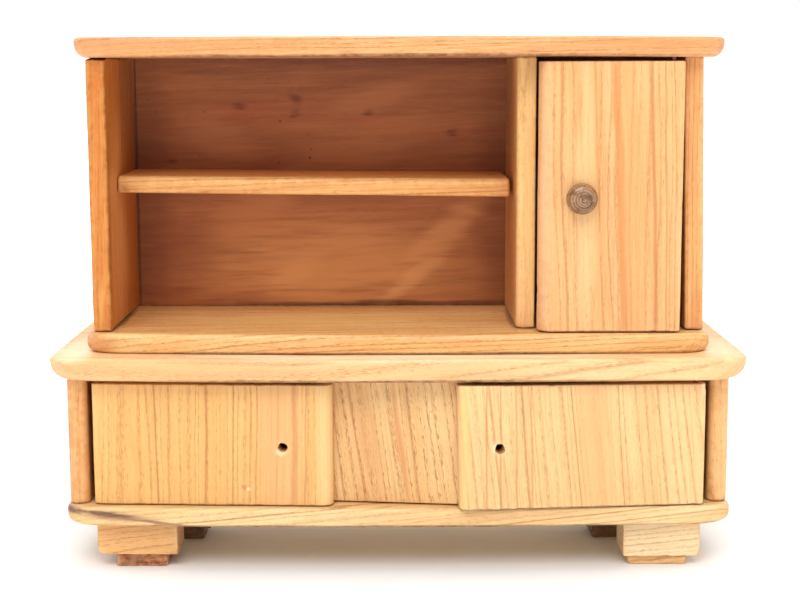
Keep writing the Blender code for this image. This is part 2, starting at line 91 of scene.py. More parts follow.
# ======================================================================================
# shader graphs
# ======================================================================================
class Graph:
    """A thin layer over a material's nodes, so that a finish reads as a short recipe."""

    def __init__(self, name: str) -> None:
        """Start an empty material with a Principled shader.

        Args:
            name: the material's name.
        """
        self.material = bpy.data.materials.new(name)
        self.material.use_nodes = True
        self.tree = self.material.node_tree
        self.shader = self.tree.nodes["Principled BSDF"]

    def node(self, kind: str, **settings: object) -> bpy.types.Node:
        """Add a node and set its properties.

        Args:
            kind: Blender's node type.
            settings: attribute values for the node.

        Returns:
            The new node.
        """
        made = self.tree.nodes.new(kind)
        for key, value in settings.items():
            setattr(made, key, value)
        return made

    def feed(self, socket: Socket, value: Value) -> None:
        """Link or set an input, whichever the value asks for.

        Args:
            socket: the input.
            value: an output socket, a number or a tuple.
        """
        if isinstance(value, bpy.types.NodeSocket):
            self.tree.links.new(value, socket)
        else:
            socket.default_value = value

    def math(self, operation: str, *values: object, clamp: bool = False) -> Socket:
        """A Math node's result.

        Args:
            operation: the node's operation.
            values: its inputs.
            clamp: whether the result is kept from 0 to 1.

        Returns:
            The output socket.
        """
        made = self.node("ShaderNodeMath", operation=operation, use_clamp=clamp)
        for socket, value in zip(made.inputs, values):
            self.feed(socket, value)
        return made.outputs[0]

    def plus(self, first: Value, second: Value, clamp: bool = False) -> Socket:
        """The sum of two inputs."""
        return self.math("ADD", first, second, clamp=clamp)

    def minus(self, first: Value, second: Value) -> Socket:
        """The first input less the second."""
        return self.math("SUBTRACT", first, second)

    def times(self, first: Value, second: Value, clamp: bool = False) -> Socket:
        """The product of two inputs."""
        return self.math("MULTIPLY", first, second, clamp=clamp)

    def vector(self, operation: str, *values: object) -> Socket:
        """A Vector Math node's result.

        Args:
            operation: the node's operation.
            values: its inputs.

        Returns:
            The output socket, the number for LENGTH and DOT_PRODUCT.
        """
        made = self.node("ShaderNodeVectorMath", operation=operation)
        for socket, value in zip(made.inputs, values):
            self.feed(socket, value)
        is_number = operation in {"LENGTH", "DOT_PRODUCT"}
        return made.outputs["Value" if is_number else "Vector"]

    def scaled(self, vector: Value, factor: float) -> Socket:
        """A vector times a number.

        Args:
            vector: the vector.
            factor: the number.

        Returns:
            The output socket.
        """
        made = self.node("ShaderNodeVectorMath", operation="SCALE")
        self.feed(made.inputs[0], vector)
        made.inputs["Scale"].default_value = factor
        return made.outputs["Vector"]

    def mapping(self, vector: Value, place: Triple = (0, 0, 0),
                turn: Triple = (0, 0, 0), scale: Triple = (1, 1, 1)) -> Socket:
        """A Mapping node's result.

        Args:
            vector: the input vector.
            place: offset.
            turn: rotation in radians.
            scale: scale.

        Returns:
            The output socket.
        """
        made = self.node("ShaderNodeMapping")
        self.feed(made.inputs["Vector"], vector)
        made.inputs["Location"].default_value = place
        made.inputs["Rotation"].default_value = turn
        made.inputs["Scale"].default_value = scale
        return made.outputs["Vector"]

    def noise(self, vector: Value, scale: float, detail: float = 2.0,
              rough: float = 0.5, colour: bool = False) -> Socket:
        """A Noise Texture's value or colour.

        Args:
            vector: where it is read.
            scale: its scale.
            detail: its octaves.
            rough: how much each octave adds.
            colour: whether the colour is wanted.

        Returns:
            The output socket.
        """
        made = self.node("ShaderNodeTexNoise")
        self.feed(made.inputs["Vector"], vector)
        made.inputs["Scale"].default_value = scale
        made.inputs["Detail"].default_value = detail
        made.inputs["Roughness"].default_value = rough
        return made.outputs["Color" if colour else "Fac"]

    def streaks(self, log: Value, across: float, along: float, detail: float = 2.0,
                rough: float = 0.5, place: Triple = (0, 0, 0), colour: bool = False) -> Socket:
        """Noise that is drawn out along the fibres.

        Args:
            log: the point in the log, in mm.
            across: its scale over the fibres, per mm.
            along: its scale down the fibres, per mm.
            detail: its octaves.
            rough: how much each octave adds.
            place: an offset, so that it doesn't repeat another.
            colour: whether the colour is wanted.

        Returns:
            The output socket.
        """
        drawn = self.mapping(log, place=place, scale=(across, across, along))
        return self.noise(drawn, 1.0, detail, rough, colour)

    def ramp(self, value: Value, stops: Sequence[Point]) -> Socket:
        """A grey Color Ramp, as a curve through its stops.

        Args:
            value: the input.
            stops: (position, level) pairs.

        Returns:
            The output socket.
        """
        made = self.node("ShaderNodeValToRGB")
        self.feed(made.inputs["Fac"], value)
        ramp = made.color_ramp
        while len(ramp.elements) < len(stops):
            ramp.elements.new(0.5)
        for element, (position, level) in zip(ramp.elements, stops):
            element.position = position
            element.color = (level, level, level, 1.0)
        return made.outputs["Color"]

    def band(self, value: Value, low: float, high: float) -> Socket:
        """A smooth step from 0 at low to 1 at high.

        Args:
            value: the input.
            low: where it starts.
            high: where it ends.

        Returns:
            The output socket.
        """
        made = self.node("ShaderNodeMapRange", interpolation_type="SMOOTHSTEP")
        self.feed(made.inputs["Value"], value)
        made.inputs["From Min"].default_value = low
        made.inputs["From Max"].default_value = high
        return made.outputs["Result"]

    def mix(self, share: Value, first: Value, second: Value, blend: str = "MIX") -> Socket:
        """A colour mix.

        Args:
            share: how much of the second.
            first: a colour or socket.
            second: a colour or socket.
            blend: the blend type.

        Returns:
            The output socket.
        """
        made = self.node("ShaderNodeMix", data_type="RGBA", blend_type=blend)
        self.feed(made.inputs[0], share)
        for index, value in ((6, first), (7, second)):
            if isinstance(value, tuple):
                value = (*value, 1.0) if len(value) == 3 else value
            self.feed(made.inputs[index], value)
        return made.outputs[2]

    def set(self, **values: float) -> None:
        """Set the shader's own constant inputs, with _ for a space in the name.

        Args:
            values: input name to number.
        """
        for key, value in values.items():
            self.shader.inputs[key.replace("_", " ")].default_value = value

    def bump(self, height: Value, strength: float, distance: float) -> None:
        """Drive the shader's normal from a height.

        Args:
            height: the height socket.
            strength: how strong it is.
            distance: the height of a full step, in metres.
        """
        made = self.node("ShaderNodeBump")
        made.inputs["Strength"].default_value = strength
        made.inputs["Distance"].default_value = distance
        self.feed(made.inputs["Height"], height)
        self.feed(self.shader.inputs["Normal"], made.outputs["Normal"])


class Grain(Enum):
    """Which way the fibres of a board run, as the turn that brings them upright."""

    ALONG_X = (0.0, -math.pi / 2, 0.0)
    ALONG_Y = (math.pi / 2, 0.0, 0.0)
    ALONG_Z = (0.0, 0.0, 0.0)


@dataclass(frozen=True)
class Stain:
    """A coloured patch with soft, uneven borders: heartwood, a knot, dirt, a rubbed place, and
    in places painted light and shade.

    Attributes:
        centre: its middle in the board's own frame, in mm.
        size: half its size along each axis, in mm.
        colour: the colour that it mixes in.
        strength: how much of that colour shows.
        turn: its slant about the y axis, in degrees.
        soft: share of its size over which it fades.
        ragged: how much its border wanders, in mm.
    """

    centre: tuple[float, float, float]
    size: tuple[float, float, float]
    colour: Colour
    strength: float = 0.6
    turn: float = 0.0
    soft: float = 0.7
    ragged: float = 1.0

    def share(self, graph: Graph, local: Value, wander: Value) -> Socket:
        """How much of the stain shows at each point.

        Args:
            graph: the material's graph.
            local: the point in mm.
            wander: an offset that makes the border uneven.

        Returns:
            The output socket, 0 to the stain's strength.
        """
        shifted = graph.vector("ADD", local, graph.scaled(wander, self.ragged))
        moved = graph.vector("SUBTRACT", shifted, self.centre)
        turned_back = graph.mapping(moved, turn=(0.0, math.radians(self.turn), 0.0))
        unit = graph.mapping(turned_back, scale=tuple(1 / part for part in self.size))
        inside = graph.band(graph.vector("LENGTH", unit), 1.0, 1.0 - self.soft)
        return graph.times(inside, self.strength)


def on_face(y: float, half: float) -> Callable[..., Stain]:
    """A maker of stains that all lie at one depth, on one upright face.

    Args:
        y: how far back the middle of each lies, in mm.
        half: half the depth of each, in mm.

    Returns:
        A function of a stain's x, z, half width and half height, and then of its
        colour and the rest, as Stain takes them.
    """
    def stain(x: float, z: float, wide: float, tall: float, *rest: object,
              **more: float) -> Stain:
        """One stain of that face."""
        return Stain((x, y, z), (wide, half, tall), *rest, **more)

    return stain


@dataclass(frozen=True)
class Wood:
    """A clear-varnished board cut from a log, with rings, fibres, pores and wear.

    Attributes:
        name: the material's name.
        grain: which way the fibres run.
        light: colour of the early wood.
        dark: colour of the broad darker areas.
        blush: colour of the broad reddish areas.
        late: colour of the ring lines.
        pale: colour of rubbed edges and of the palest fibres.
        pith: where the log's centre lies from the board's origin, across the fibres, mm.
        tilt: how far the board leans in the log, in degrees about two axes.
        ring: distance between rings, in mm.
        rings: how much the ring lines show.
        fibres: how much the fine fibres show.
        pores: how much the pores show.
        cloud: how much the broad colour drifts.
        wear: how much the edges are rubbed.
        ends: how much darker the end grain is.
        shine: roughness of the varnish.
        coat: weight of the varnish's glossy coat.
        tone: the stain in the varnish, which every colour is multiplied by; on the rear feet
            it is painted shade.
        stains: patches of another colour.
        seed: shifts every noise, so that no two boards are alike.
    """

    name: str
    grain: Grain = Grain.ALONG_X
    light: Colour = (0.80, 0.44, 0.165)
    dark: Colour = (0.70, 0.33, 0.10)
    blush: Colour = (0.74, 0.345, 0.135)
    late: Colour = (0.43, 0.15, 0.04)
    pale: Colour = (0.86, 0.56, 0.28)
    pith: Point = (30.0, 42.0)
    tilt: Point = (3.0, 2.0)
    ring: float = 1.5
    rings: float = 0.5
    fibres: float = 0.7
    pores: float = 0.42
    cloud: float = 0.8
    wear: float = 0.45
    ends: float = 0.35
    shine: float = 0.45
    coat: float = 0.08
    tone: Colour = (1.0, 1.0, 1.0)
    stains: tuple[Stain, ...] = ()
    seed: float = 0.0

    def build(self) -> bpy.types.Material:
        """Make the material.

        Returns:
            The finished material.
        """
        graph = Graph(self.name)
        spot = graph.node("ShaderNodeTexCoord")
        local = graph.mapping(spot.outputs["Object"], scale=(1 / MM,) * 3)
        upright = graph.mapping(local, turn=self.grain.value)
        lean = (math.radians(self.tilt[0]), math.radians(self.tilt[1]), 0.0)
        log = graph.mapping(upright, place=(*self.pith, self.seed * 37.0), turn=lean)
        lines, porous = self._rings(graph, log)
        fibres = self._fibres(graph, log)
        pores = self._pores(graph, log, porous)
        colour = self._colour(graph, log, lines, fibres, pores)
        facing = graph.mapping(spot.outputs["Normal"], turn=self.grain.value)
        colour = self._ends(graph, facing, colour)
        colour = self._stain(graph, local, log, fibres, colour)
        colour = self._age(graph, local, colour)
        colour = graph.mix(1.0, colour, self.tone, "MULTIPLY")
        self._surface(graph, log, colour, lines, fibres, pores)
        return graph.material

    @staticmethod
    def _drift(graph: Graph, log: Value, across: float, along: float, reach: float) -> Socket:
        """Move a point over the fibres by an offset that changes slowly along them.

        Args:
            graph: the material's graph.
            log: the point in the log.
            across: how fast the offset changes over the fibres.
            along: how fast it changes down them.
            reach: how far it moves the point.

        Returns:
            The offset's output socket.
        """
        cloud = graph.streaks(log, across, along, colour=True)
        centred = graph.vector("SUBTRACT", cloud, (0.5, 0.5, 0.5))
        return graph.vector("MULTIPLY", centred, (reach, reach, 0.0))

    def _rings(self, graph: Graph, log: Value) -> tuple[Socket, Socket]:
        """Ring lines, and the porous zone that follows each, both from 0 to 1.

        Args:
            graph: the material's graph.
            log: the point in the log.

        Returns:
            The two output sockets.
        """
        moved = graph.vector("ADD", log, self._drift(graph, log, 0.03, 0.005, 9.0))
        moved = graph.vector("ADD", moved, self._drift(graph, log, 0.3, 0.03, 0.9))
        flat = graph.vector("MULTIPLY", moved, (1.0, 1.0, 0.0))
        radius = graph.math("DIVIDE", graph.vector("LENGTH", flat), self.ring)
        uneven = graph.node("ShaderNodeTexNoise", noise_dimensions="1D")
        graph.feed(uneven.inputs["W"], radius)
        uneven.inputs["Scale"].default_value = 0.35
        radius = graph.plus(radius, graph.times(uneven.outputs["Fac"], 2.2))
        phase = graph.math("FRACT", radius)
        line = graph.ramp(phase, ((0.0, 0.6), (0.07, 0.12), (0.3, 0.0), (0.76, 0.1),
                                  (0.9, 1.0), (1.0, 0.6)))
        vary = graph.node("ShaderNodeTexWhiteNoise", noise_dimensions="1D")
        graph.feed(vary.inputs["W"], graph.math("FLOOR", radius))
        weight = graph.math("POWER", vary.outputs["Value"], 1.7)
        weight = graph.plus(graph.times(weight, 1.1), 0.2)
        porous = graph.ramp(phase, ((0.0, 1.0), (0.16, 0.6), (0.32, 0.1), (0.8, 0.0),
                                    (0.9, 1.0), (1.0, 1.0)))
        return graph.times(line, weight), porous

    def _fibres(self, graph: Graph, log: Value) -> Socket:
        """Fine streaks along the fibres, from 0 to 1.

        Args:
            graph: the material's graph.
            log: the point in the log.

        Returns:
            The output socket.
        """
        hair = graph.streaks(log, 5.0, 0.14, 2.0, 0.6)
        fine = graph.streaks(log, 2.3, 0.05, 4.0, 0.7)
        coarse = graph.streaks(log, 0.6, 0.012, 3.0, 0.6)
        total = graph.plus(graph.times(hair, 0.35), graph.times(fine, 0.4))
        return graph.plus(total, graph.times(coarse, 0.25))

    def _pores(self, graph: Graph, log: Value, porous: Value) -> Socket:
        """Short dark vessel lines, mostly in the porous zone of each ring, 0 to 1.

        Args:
            graph: the material's graph.
            log: the point in the log.
            porous: the porous zones.

        Returns:
            The output socket.
        """
        cells = graph.streaks(log, 6.5, 0.6, 1.0, 0.4)
        small = graph.streaks(log, 6.5, 1.1, 0.0)
        patch = graph.streaks(log, 0.13, 0.04, 1.0)
        limit = graph.minus(0.72, graph.times(porous, 0.19))
        limit = graph.minus(limit, graph.times(patch, 0.07))
        long_ones = graph.times(graph.minus(cells, limit), 9.0, clamp=True)
        short_ones = graph.times(graph.minus(small, 0.64), 5.0, clamp=True)
        return graph.plus(graph.times(long_ones, 0.8), graph.times(short_ones, 0.4),
                          clamp=True)

    def _colour(self, graph: Graph, log: Value, lines: Value, fibres: Value,
                pores: Value) -> Socket:
        """The varnished colour from clouds, fibres, rings and pores.

        Args:
            graph: the material's graph.
            log: the point in the log.
            lines: the ring lines.
            fibres: the streaks.
            pores: the vessel lines.

        Returns:
            The output socket.
        """
        broad = graph.streaks(log, 0.09, 0.009, 3.0, 0.55)
        warm = graph.streaks(log, 0.13, 0.014, place=(7.0, 3.0, 9.0))
        drift = graph.times(graph.band(broad, 0.36, 0.66), self.cloud)
        colour = graph.mix(drift, self.light, self.dark)
        reddish = graph.times(graph.band(warm, 0.48, 0.7), self.cloud * 0.8)
        colour = graph.mix(reddish, colour, self.blush)
        deep = graph.mix(0.5, self.dark, self.late)
        thread = graph.times(graph.band(fibres, 0.47, 0.66), self.fibres)
        colour = graph.mix(thread, colour, deep)
        bright = graph.times(graph.band(fibres, 0.5, 0.36), self.fibres * 0.5)
        colour = graph.mix(bright, colour, self.pale)
        colour = graph.mix(graph.times(lines, self.rings), colour, self.late)
        vessel = tuple(part * 0.7 for part in self.late)
        return graph.mix(graph.times(pores, self.pores), colour, vessel)

    def _ends(self, graph: Graph, facing: Value, colour: Value) -> Socket:
        """End grain drinks the varnish and goes darker.

        Args:
            graph: the material's graph.
            facing: the surface's direction, with the fibres upright.
            colour: the colour so far.

        Returns:
            The output socket.
        """
        along = graph.math("ABSOLUTE", graph.vector("DOT_PRODUCT", facing, (0, 0, 1.0)))
        share = graph.times(graph.band(along, 0.45, 0.95), self.ends)
        return graph.mix(share, colour, self.late)

    def _stain(self, graph: Graph, local: Value, log: Value, fibres: Value,
               colour: Value) -> Socket:
        """Lay the stains over the figure; the fibres still show through them.

        Args:
            graph: the material's graph.
            local: the point in mm.
            log: the point in the log.
            fibres: the streaks.
            colour: the colour so far.

        Returns:
            The output socket.
        """
        if not self.stains:
            return colour
        cloud = graph.streaks(log, 0.5, 0.045, colour=True)
        wander = graph.scaled(graph.vector("SUBTRACT", cloud, (0.5, 0.5, 0.5)), 4.0)
        streaky = graph.plus(graph.times(fibres, 1.4), 0.3, clamp=True)
        for stain in self.stains:
            share = graph.times(stain.share(graph, local, wander), streaky)
            colour = graph.mix(share, colour, stain.colour)
        return colour

    def _age(self, graph: Graph, local: Value, colour: Value) -> Socket:
        """Rubbed edges go pale, and the walls of holes get painted shade.

        Args:
            graph: the material's graph.
            local: the point in mm.
            colour: the colour so far.

        Returns:
            The output socket.
        """
        edge = graph.node("ShaderNodeAttribute", attribute_name="edge").outputs["Fac"]
        # This attribute marks the walls of holes, which it darkens as painted shade.
        dirt = graph.node("ShaderNodeAttribute", attribute_name="dirt").outputs["Fac"]
        patchy = graph.streaks(local, 0.45, 0.45, 3.0, 0.6)
        rubbed = graph.times(edge, graph.band(patchy, 0.34, 0.6))
        colour = graph.mix(graph.times(rubbed, self.wear), colour, self.pale)
        hole_shade_share = graph.times(dirt, graph.band(patchy, 0.15, 0.5))
        hole_shade_colour = tuple(part * 0.3 for part in self.late)
        return graph.mix(graph.times(hole_shade_share, 0.85), colour, hole_shade_colour)

    def _surface(self, graph: Graph, log: Value, colour: Value, lines: Value,
                 fibres: Value, pores: Value) -> None:
        """Varnish: a satin coat with the fibres and pores just felt through it.

        Args:
            graph: the material's graph.
            log: the point in the log.
            colour: the finished colour.
            lines: the ring lines.
            fibres: the streaks.
            pores: the vessel lines.
        """
        graph.feed(graph.shader.inputs["Base Color"], colour)
        smear = graph.streaks(log, 0.3, 0.08, 3.0, 0.6)
        rough = graph.plus(graph.times(smear, 0.22), self.shine - 0.11)
        rough = graph.plus(rough, graph.times(pores, 0.2), clamp=True)
        graph.feed(graph.shader.inputs["Roughness"], rough)
        graph.set(IOR=1.42, Specular_IOR_Level=0.35, Coat_Weight=self.coat,
                  Coat_Roughness=self.shine * 0.5)
        relief = graph.plus(graph.times(fibres, 0.9), graph.times(lines, -0.35))
        relief = graph.minus(relief, graph.times(pores, 0.9))
        graph.bump(relief, 0.6, 0.05 * MM)


@dataclass(frozen=True)
class Steel:
    """Drawn steel wire, a little dull, with fine lines round it and specks of rust.

    Attributes:
        name: the material's name.
        base: the metal's colour.
        rust: the colour of its specks.
    """

    name: str = "steel_wire"
    base: Colour = (0.10, 0.09, 0.08)
    rust: Colour = (0.16, 0.07, 0.03)

    def build(self) -> bpy.types.Material:
        """Make the material.

        Returns:
            The finished material.
        """
        graph = Graph(self.name)
        spot = graph.node("ShaderNodeTexCoord").outputs["Object"]
        local = graph.mapping(spot, scale=(1 / MM,) * 3)
        specks = graph.band(graph.noise(local, 1.6, 4.0, 0.7), 0.4, 0.58)
        lines = graph.noise(graph.mapping(local, scale=(1.0, 1.0, 9.0)), 2.0, 3.0)
        colour = graph.mix(specks, self.base, self.rust)
        graph.feed(graph.shader.inputs["Base Color"], colour)
        graph.feed(graph.shader.inputs["Metallic"], graph.minus(1.0, specks))
        graph.feed(graph.shader.inputs["Roughness"],
                   graph.plus(graph.times(lines, 0.3), 0.25))
        graph.bump(lines, 0.3, 0.02 * MM)
        return graph.material


# ======================================================================================
# solids
# ======================================================================================
class Along(Enum):
    """The axis that a slab's outline is carried along."""

    X = 0
    Y = 1
    Z = 2

    def place(self, u: float, v: float, w: float) -> Vector:
        """Turn outline coordinates and a level into a point.

        Args:
            u: first outline coordinate.
            v: second outline coordinate.
            w: level along the axis.

        Returns:
            The point.
        """
        if self is Along.X:
            return Vector((w, u, v))
        if self is Along.Y:
            return Vector((v, w, u))
        return Vector((u, v, w))


@dataclass(frozen=True)
class Round:
    """A rounded end of a slab: how far it draws in on each side and how far it runs.

    Attributes:
        sides: inset at the end for the low u, high u, low v and high v sides.
        heights: how far along the slab each of those roundings runs.
    """

    sides: tuple[float, float, float, float]
    heights: tuple[float, float, float, float]

    @classmethod
    def even(cls, radius: float) -> "Round":
        """The same small round on every side.

        Args:
            radius: its radius.

        Returns:
            The rounding.
        """
        return cls((radius,) * 4, (radius,) * 4)

    def insets(self, distance: float) -> list[float]:
        """The four insets this far from the end, each on a quarter ellipse.

        Args:
            distance: distance from the end.

        Returns:
            Insets for the low u, high u, low v and high v sides.
        """
        insets = []
        for side, height in zip(self.sides, self.heights):
            along = max(0.0, 1.0 - max(0.0, distance) / height)
            insets.append(side * (1.0 - math.sqrt(1.0 - along * along)))
        return insets

    def levels(self, steps: int) -> list[float]:
        """Distances from the end at which the rounds are cut, closer near the end."""
        return sorted(height * (1 - math.cos(math.pi / 2 * step / steps))
                      for height in set(self.heights) for step in range(steps + 1))

    @property
    def run(self) -> float:
        """How far the longest of the roundings runs."""
        return max(self.heights)


SANDED = Round.even(0.3 * MM)


def arc_outline(low: Point, high: Point, radii: Sequence[float], spacing: float,
                steps: int = 5) -> list[Point]:
    """A rectangle with rounded corners, anticlockwise, cut into short edges.

    Args:
        low: lowest corner.
        high: highest corner.
        radii: corner radii, anticlockwise from the low corner.
        spacing: longest edge.
        steps: edges in each corner's arc.

    Returns:
        The outline's points.
    """
    corners = ((low[0], low[1], 180), (high[0], low[1], 270), (high[0], high[1], 0),
               (low[0], high[1], 90))
    ring: list[Point] = []
    for (cx, cy, start), radius in zip(corners, radii):
        centre = (cx + math.copysign(radius, (low[0] + high[0]) / 2 - cx),
                  cy + math.copysign(radius, (low[1] + high[1]) / 2 - cy))
        for step in range(steps + 1):
            angle = math.radians(start + 90 * step / steps)
            ring.append((centre[0] + radius * math.cos(angle),
                         centre[1] + radius * math.sin(angle)))
    return subdivided(ring, spacing)


def subdivided(ring: Sequence[Point], spacing: float) -> list[Point]:
    """Cut a closed outline's long edges into even short ones.

    Args:
        ring: the outline.
        spacing: longest edge.

    Returns:
        The finer outline.
    """
    fine: list[Point] = []
    for first, second in zip(ring, [*ring[1:], ring[0]]):
        count = max(1, math.ceil(math.dist(first, second) / spacing))
        fine += [(first[0] + (second[0] - first[0]) * step / count,
                  first[1] + (second[1] - first[1]) * step / count)
                 for step in range(count)]
    return fine


@dataclass(frozen=True)
class Plan:
    """Plan of a long board: straight rear and ends, round corners, a bowed front.

    Attributes:
        bows: how far the front falls back towards the left and the right end.
        corner_wide: width of the round front corners.
        corners_deep: depth of the left and the right corner.
    """

    bows: Point
    corner_wide: float
    corners_deep: Point

    def outline(self, low: Vector, high: Vector, spacing: float) -> list[Point]:
        """Cut the plan into short edges.

        Args:
            low: the board's lowest corner.
            high: its highest corner.
            spacing: longest edge.

        Returns:
            The outline, anticlockwise from the left front corner.
        """
        half, middle = (high.x - low.x) / 2, (high.x + low.x) / 2
        straight = half - self.corner_wide
        steps = 14
        turn = [straight + self.corner_wide * math.sin(math.pi / 2 * step / steps)
                for step in range(steps + 1)]
        count = math.ceil(2 * straight / spacing)
        bowed = [-straight + 2 * straight * step / count for step in range(1, count)]
        along = [-x for x in reversed(turn)] + bowed + turn
        ring = [(middle + x, self._front(x, low.y, half)) for x in along]
        rear, bevel = high.y, 0.3 * MM
        ring += [(high.x, rear - bevel), (high.x - bevel, rear),
                 (low.x + bevel, rear), (low.x, rear - bevel)]
        return subdivided(ring, spacing)

    def _front(self, x: float, front: float, half: float) -> float:
        """The front edge's y.

        Args:
            x: distance from the board's middle.
            front: y of the front at the middle.
            half: half the board's length.

        Returns:
            The edge's y.
        """
        hand = 0 if x < 0 else 1
        edge = front + self.bows[hand] * (x / half) ** 2
        into = max(0.0, (abs(x) - (half - self.corner_wide)) / self.corner_wide)
        return edge + self.corners_deep[hand] * (1 - math.sqrt(max(0.0, 1 - into * into)))


@dataclass
class Dent:
    """A small knock or chip: the surface near a point is pushed along a direction.

    Attributes:
        centre: its middle, in the piece's own frame.
        radius: how far it reaches.
        push: how far, and which way, its middle moves.
    """

    centre: Vector
    radius: float
    push: Vector

    def moved(self, point: Vector) -> Vector:
        """Where the dent leaves a point.

        Args:
            point: a point of the surface.

        Returns:
            The moved point.
        """
        reach = (point - self.centre).length / self.radius
        if reach >= 1.0:
            return point
        return point + self.push * (1 - reach * reach) ** 2


@dataclass
class Slab:
    """A solid board: an outline carried along an axis with rounded ends.

    Attributes:
        outline: anticlockwise outline in the two other axes.
        low: where it starts along its axis.
        high: where it ends.
        along: its axis.
        start: the rounding at its low end.
        finish: the rounding at its high end.
        spacing: longest mesh edge along the axis.
        unevenness: how far hand sanding leaves the surface from true.
        seed: shifts the unevenness.
        bends: further shape changes, in order.
        dents: knocks and chips.
    """

    outline: Sequence[Point]
    low: float
    high: float
    along: Along = Along.Z
    start: Round = SANDED
    finish: Round = SANDED
    spacing: float = 1.2 * MM
    unevenness: float = 0.05 * MM
    seed: float = 0.0
    bends: Sequence[Bend] = ()
    dents: Sequence[Dent] = ()

    def _extent(self) -> tuple[float, float, float, float]:
        """Lowest and highest u, then lowest and highest v, of the outline."""
        us, vs = zip(*self.outline)
        return min(us), max(us), min(vs), max(vs)

    def _levels(self) -> list[float]:
        """Levels along the axis, close together where the ends are rounded.

        Returns:
            The levels, from the lowest up.
        """
        cuts, least = 6, 0.03 * MM
        levels = {round(self.low + step, 8) for step in self.start.levels(cuts)}
        levels |= {round(self.high - step, 8) for step in self.finish.levels(cuts)}
        first, last = self.low + self.start.run, self.high - self.finish.run
        count = max(1, math.ceil((last - first) / self.spacing))
        levels |= {round(first + (last - first) * step / count, 8)
                   for step in range(count + 1)}
        ordered = sorted(levels)
        kept = [ordered[0]]
        for level in ordered[1:-1]:
            if level - kept[-1] > least and ordered[-1] - level > least:
                kept.append(level)
        return [*kept, ordered[-1]]

    def _ring(self, level: float, further: float = 0.0) -> list[Point]:
        """The outline at a level, drawn in as the roundings ask.

        Args:
            level: the level.
            further: how much further it is drawn in on every side.

        Returns:
            The ring's points.
        """
        near, far = self.start.insets(level - self.low), self.finish.insets(self.high - level)
        draw = [a + b + further for a, b in zip(near, far)]
        u0, u1, v0, v1 = self._extent()
        wide = (u1 - u0 - draw[0] - draw[1]) / (u1 - u0)
        deep = (v1 - v0 - draw[2] - draw[3]) / (v1 - v0)
        return [(u0 + draw[0] + (u - u0) * wide, v0 + draw[2] + (v - v0) * deep)
                for u, v in self.outline]

    def _rings(self) -> list[list[Vector]]:
        """Every ring of the solid, with one more on each end face to bound the wear.

        Returns:
            The rings, from the lowest up.
        """
        u0, u1, v0, v1 = self._extent()
        margin = min(0.6 * MM, min(u1 - u0, v1 - v0) * 0.2)
        levels = self._levels()
        flat = [(levels[0], margin)] + [(level, 0.0) for level in levels]
        flat.append((levels[-1], margin))
        return [[self.along.place(u, v, level) for u, v in self._ring(level, further)]
                for level, further in flat]

    def _finish_point(self, point: Vector) -> Vector:
        """Apply the unevenness, bends and dents.

        Args:
            point: a point of the true shape.

        Returns:
            The point on the finished surface.
        """
        long_wave, short_wave, short_share = 0.06, 0.35, 0.35
        where = point / MM + Vector((self.seed * 13.7, self.seed * 7.1, self.seed * 3.3))
        slow = noise.noise_vector(where * long_wave) * self.unevenness
        quick = noise.noise_vector(where * short_wave) * self.unevenness * short_share
        point = point + slow + quick
        for bend in self.bends:
            point = bend(point)
        for dent in self.dents:
            point = dent.moved(point)
        return point

    def mesh(self, name: str) -> bpy.types.Mesh:
        """Build the solid.

        Args:
            name: the mesh's name.

        Returns:
            A closed mesh.
        """
        rings = self._rings()
        count = len(rings[0])
        points = [self._finish_point(point) for ring in rings for point in ring]
        faces = [tuple(reversed(range(count)))]
        for row in range(len(rings) - 1):
            base = row * count
            faces += [(base + i, base + (i + 1) % count, base + count + (i + 1) % count,
                       base + count + i) for i in range(count)]
        top = (len(rings) - 1) * count
        faces.append(tuple(range(top, top + count)))
        mesh = bpy.data.meshes.new(name)
        mesh.from_pydata([tuple(point) for point in points], [], faces)
        mesh.validate()
        return mesh


def turned(profile: Sequence[Point], steps: int, name: str) -> bpy.types.Mesh:
    """A turning from a profile of (radius, height) points, front to rear.

    Args:
        profile: points from the tip down the outer side, starting and ending on the axis.
        steps: cuts round the axis.
        name: the mesh's name.

    Returns:
        A closed mesh about its own z axis.
    """
    inner = profile[1:-1]
    points = [(0.0, 0.0, profile[0][1])]
    for step in range(steps):
        angle = 2 * math.pi * step / steps
        points += [(radius * math.cos(angle), radius * math.sin(angle), height)
                   for radius, height in inner]
    points.append((0.0, 0.0, profile[-1][1]))
    rows, last = len(inner), len(points) - 1
    faces: list[tuple[int, ...]] = []
    for step in range(steps):
        here, there = 1 + step * rows, 1 + (step + 1) % steps * rows
        faces.append((0, here, there))
        faces += [(here + i, here + i + 1, there + i + 1, there + i)
                  for i in range(rows - 1)]
        faces.append((here + rows - 1, last, there + rows - 1))
    mesh = bpy.data.meshes.new(name)
    mesh.from_pydata(points, [], faces)
    mesh.validate()
    return mesh


def nicks(low: Vector, high: Vector, seed: int, count: int) -> list[Dent]:
    """Small knocks along the long edges of a box.

    Args:
        low: the box's lowest corner.
        high: its highest corner.
        seed: what the places are drawn from.
        count: how many.

    Returns:
        The dents.
    """
    draw = random.Random(seed)
    size = high - low
    longest = max(range(3), key=lambda axis: size[axis])
    middle = (low + high) / 2
    made = []
    for _ in range(count):
        spot = Vector([draw.choice((low[axis], high[axis])) for axis in range(3)])
        spot[longest] = draw.uniform(low[longest], high[longest])
        inward = middle - spot
        inward[longest] = 0.0
        depth = draw.uniform(0.08, 0.3) * MM
        made.append(Dent(spot, draw.uniform(0.9, 1.7) * MM, inward.normalized() * depth))
    return made


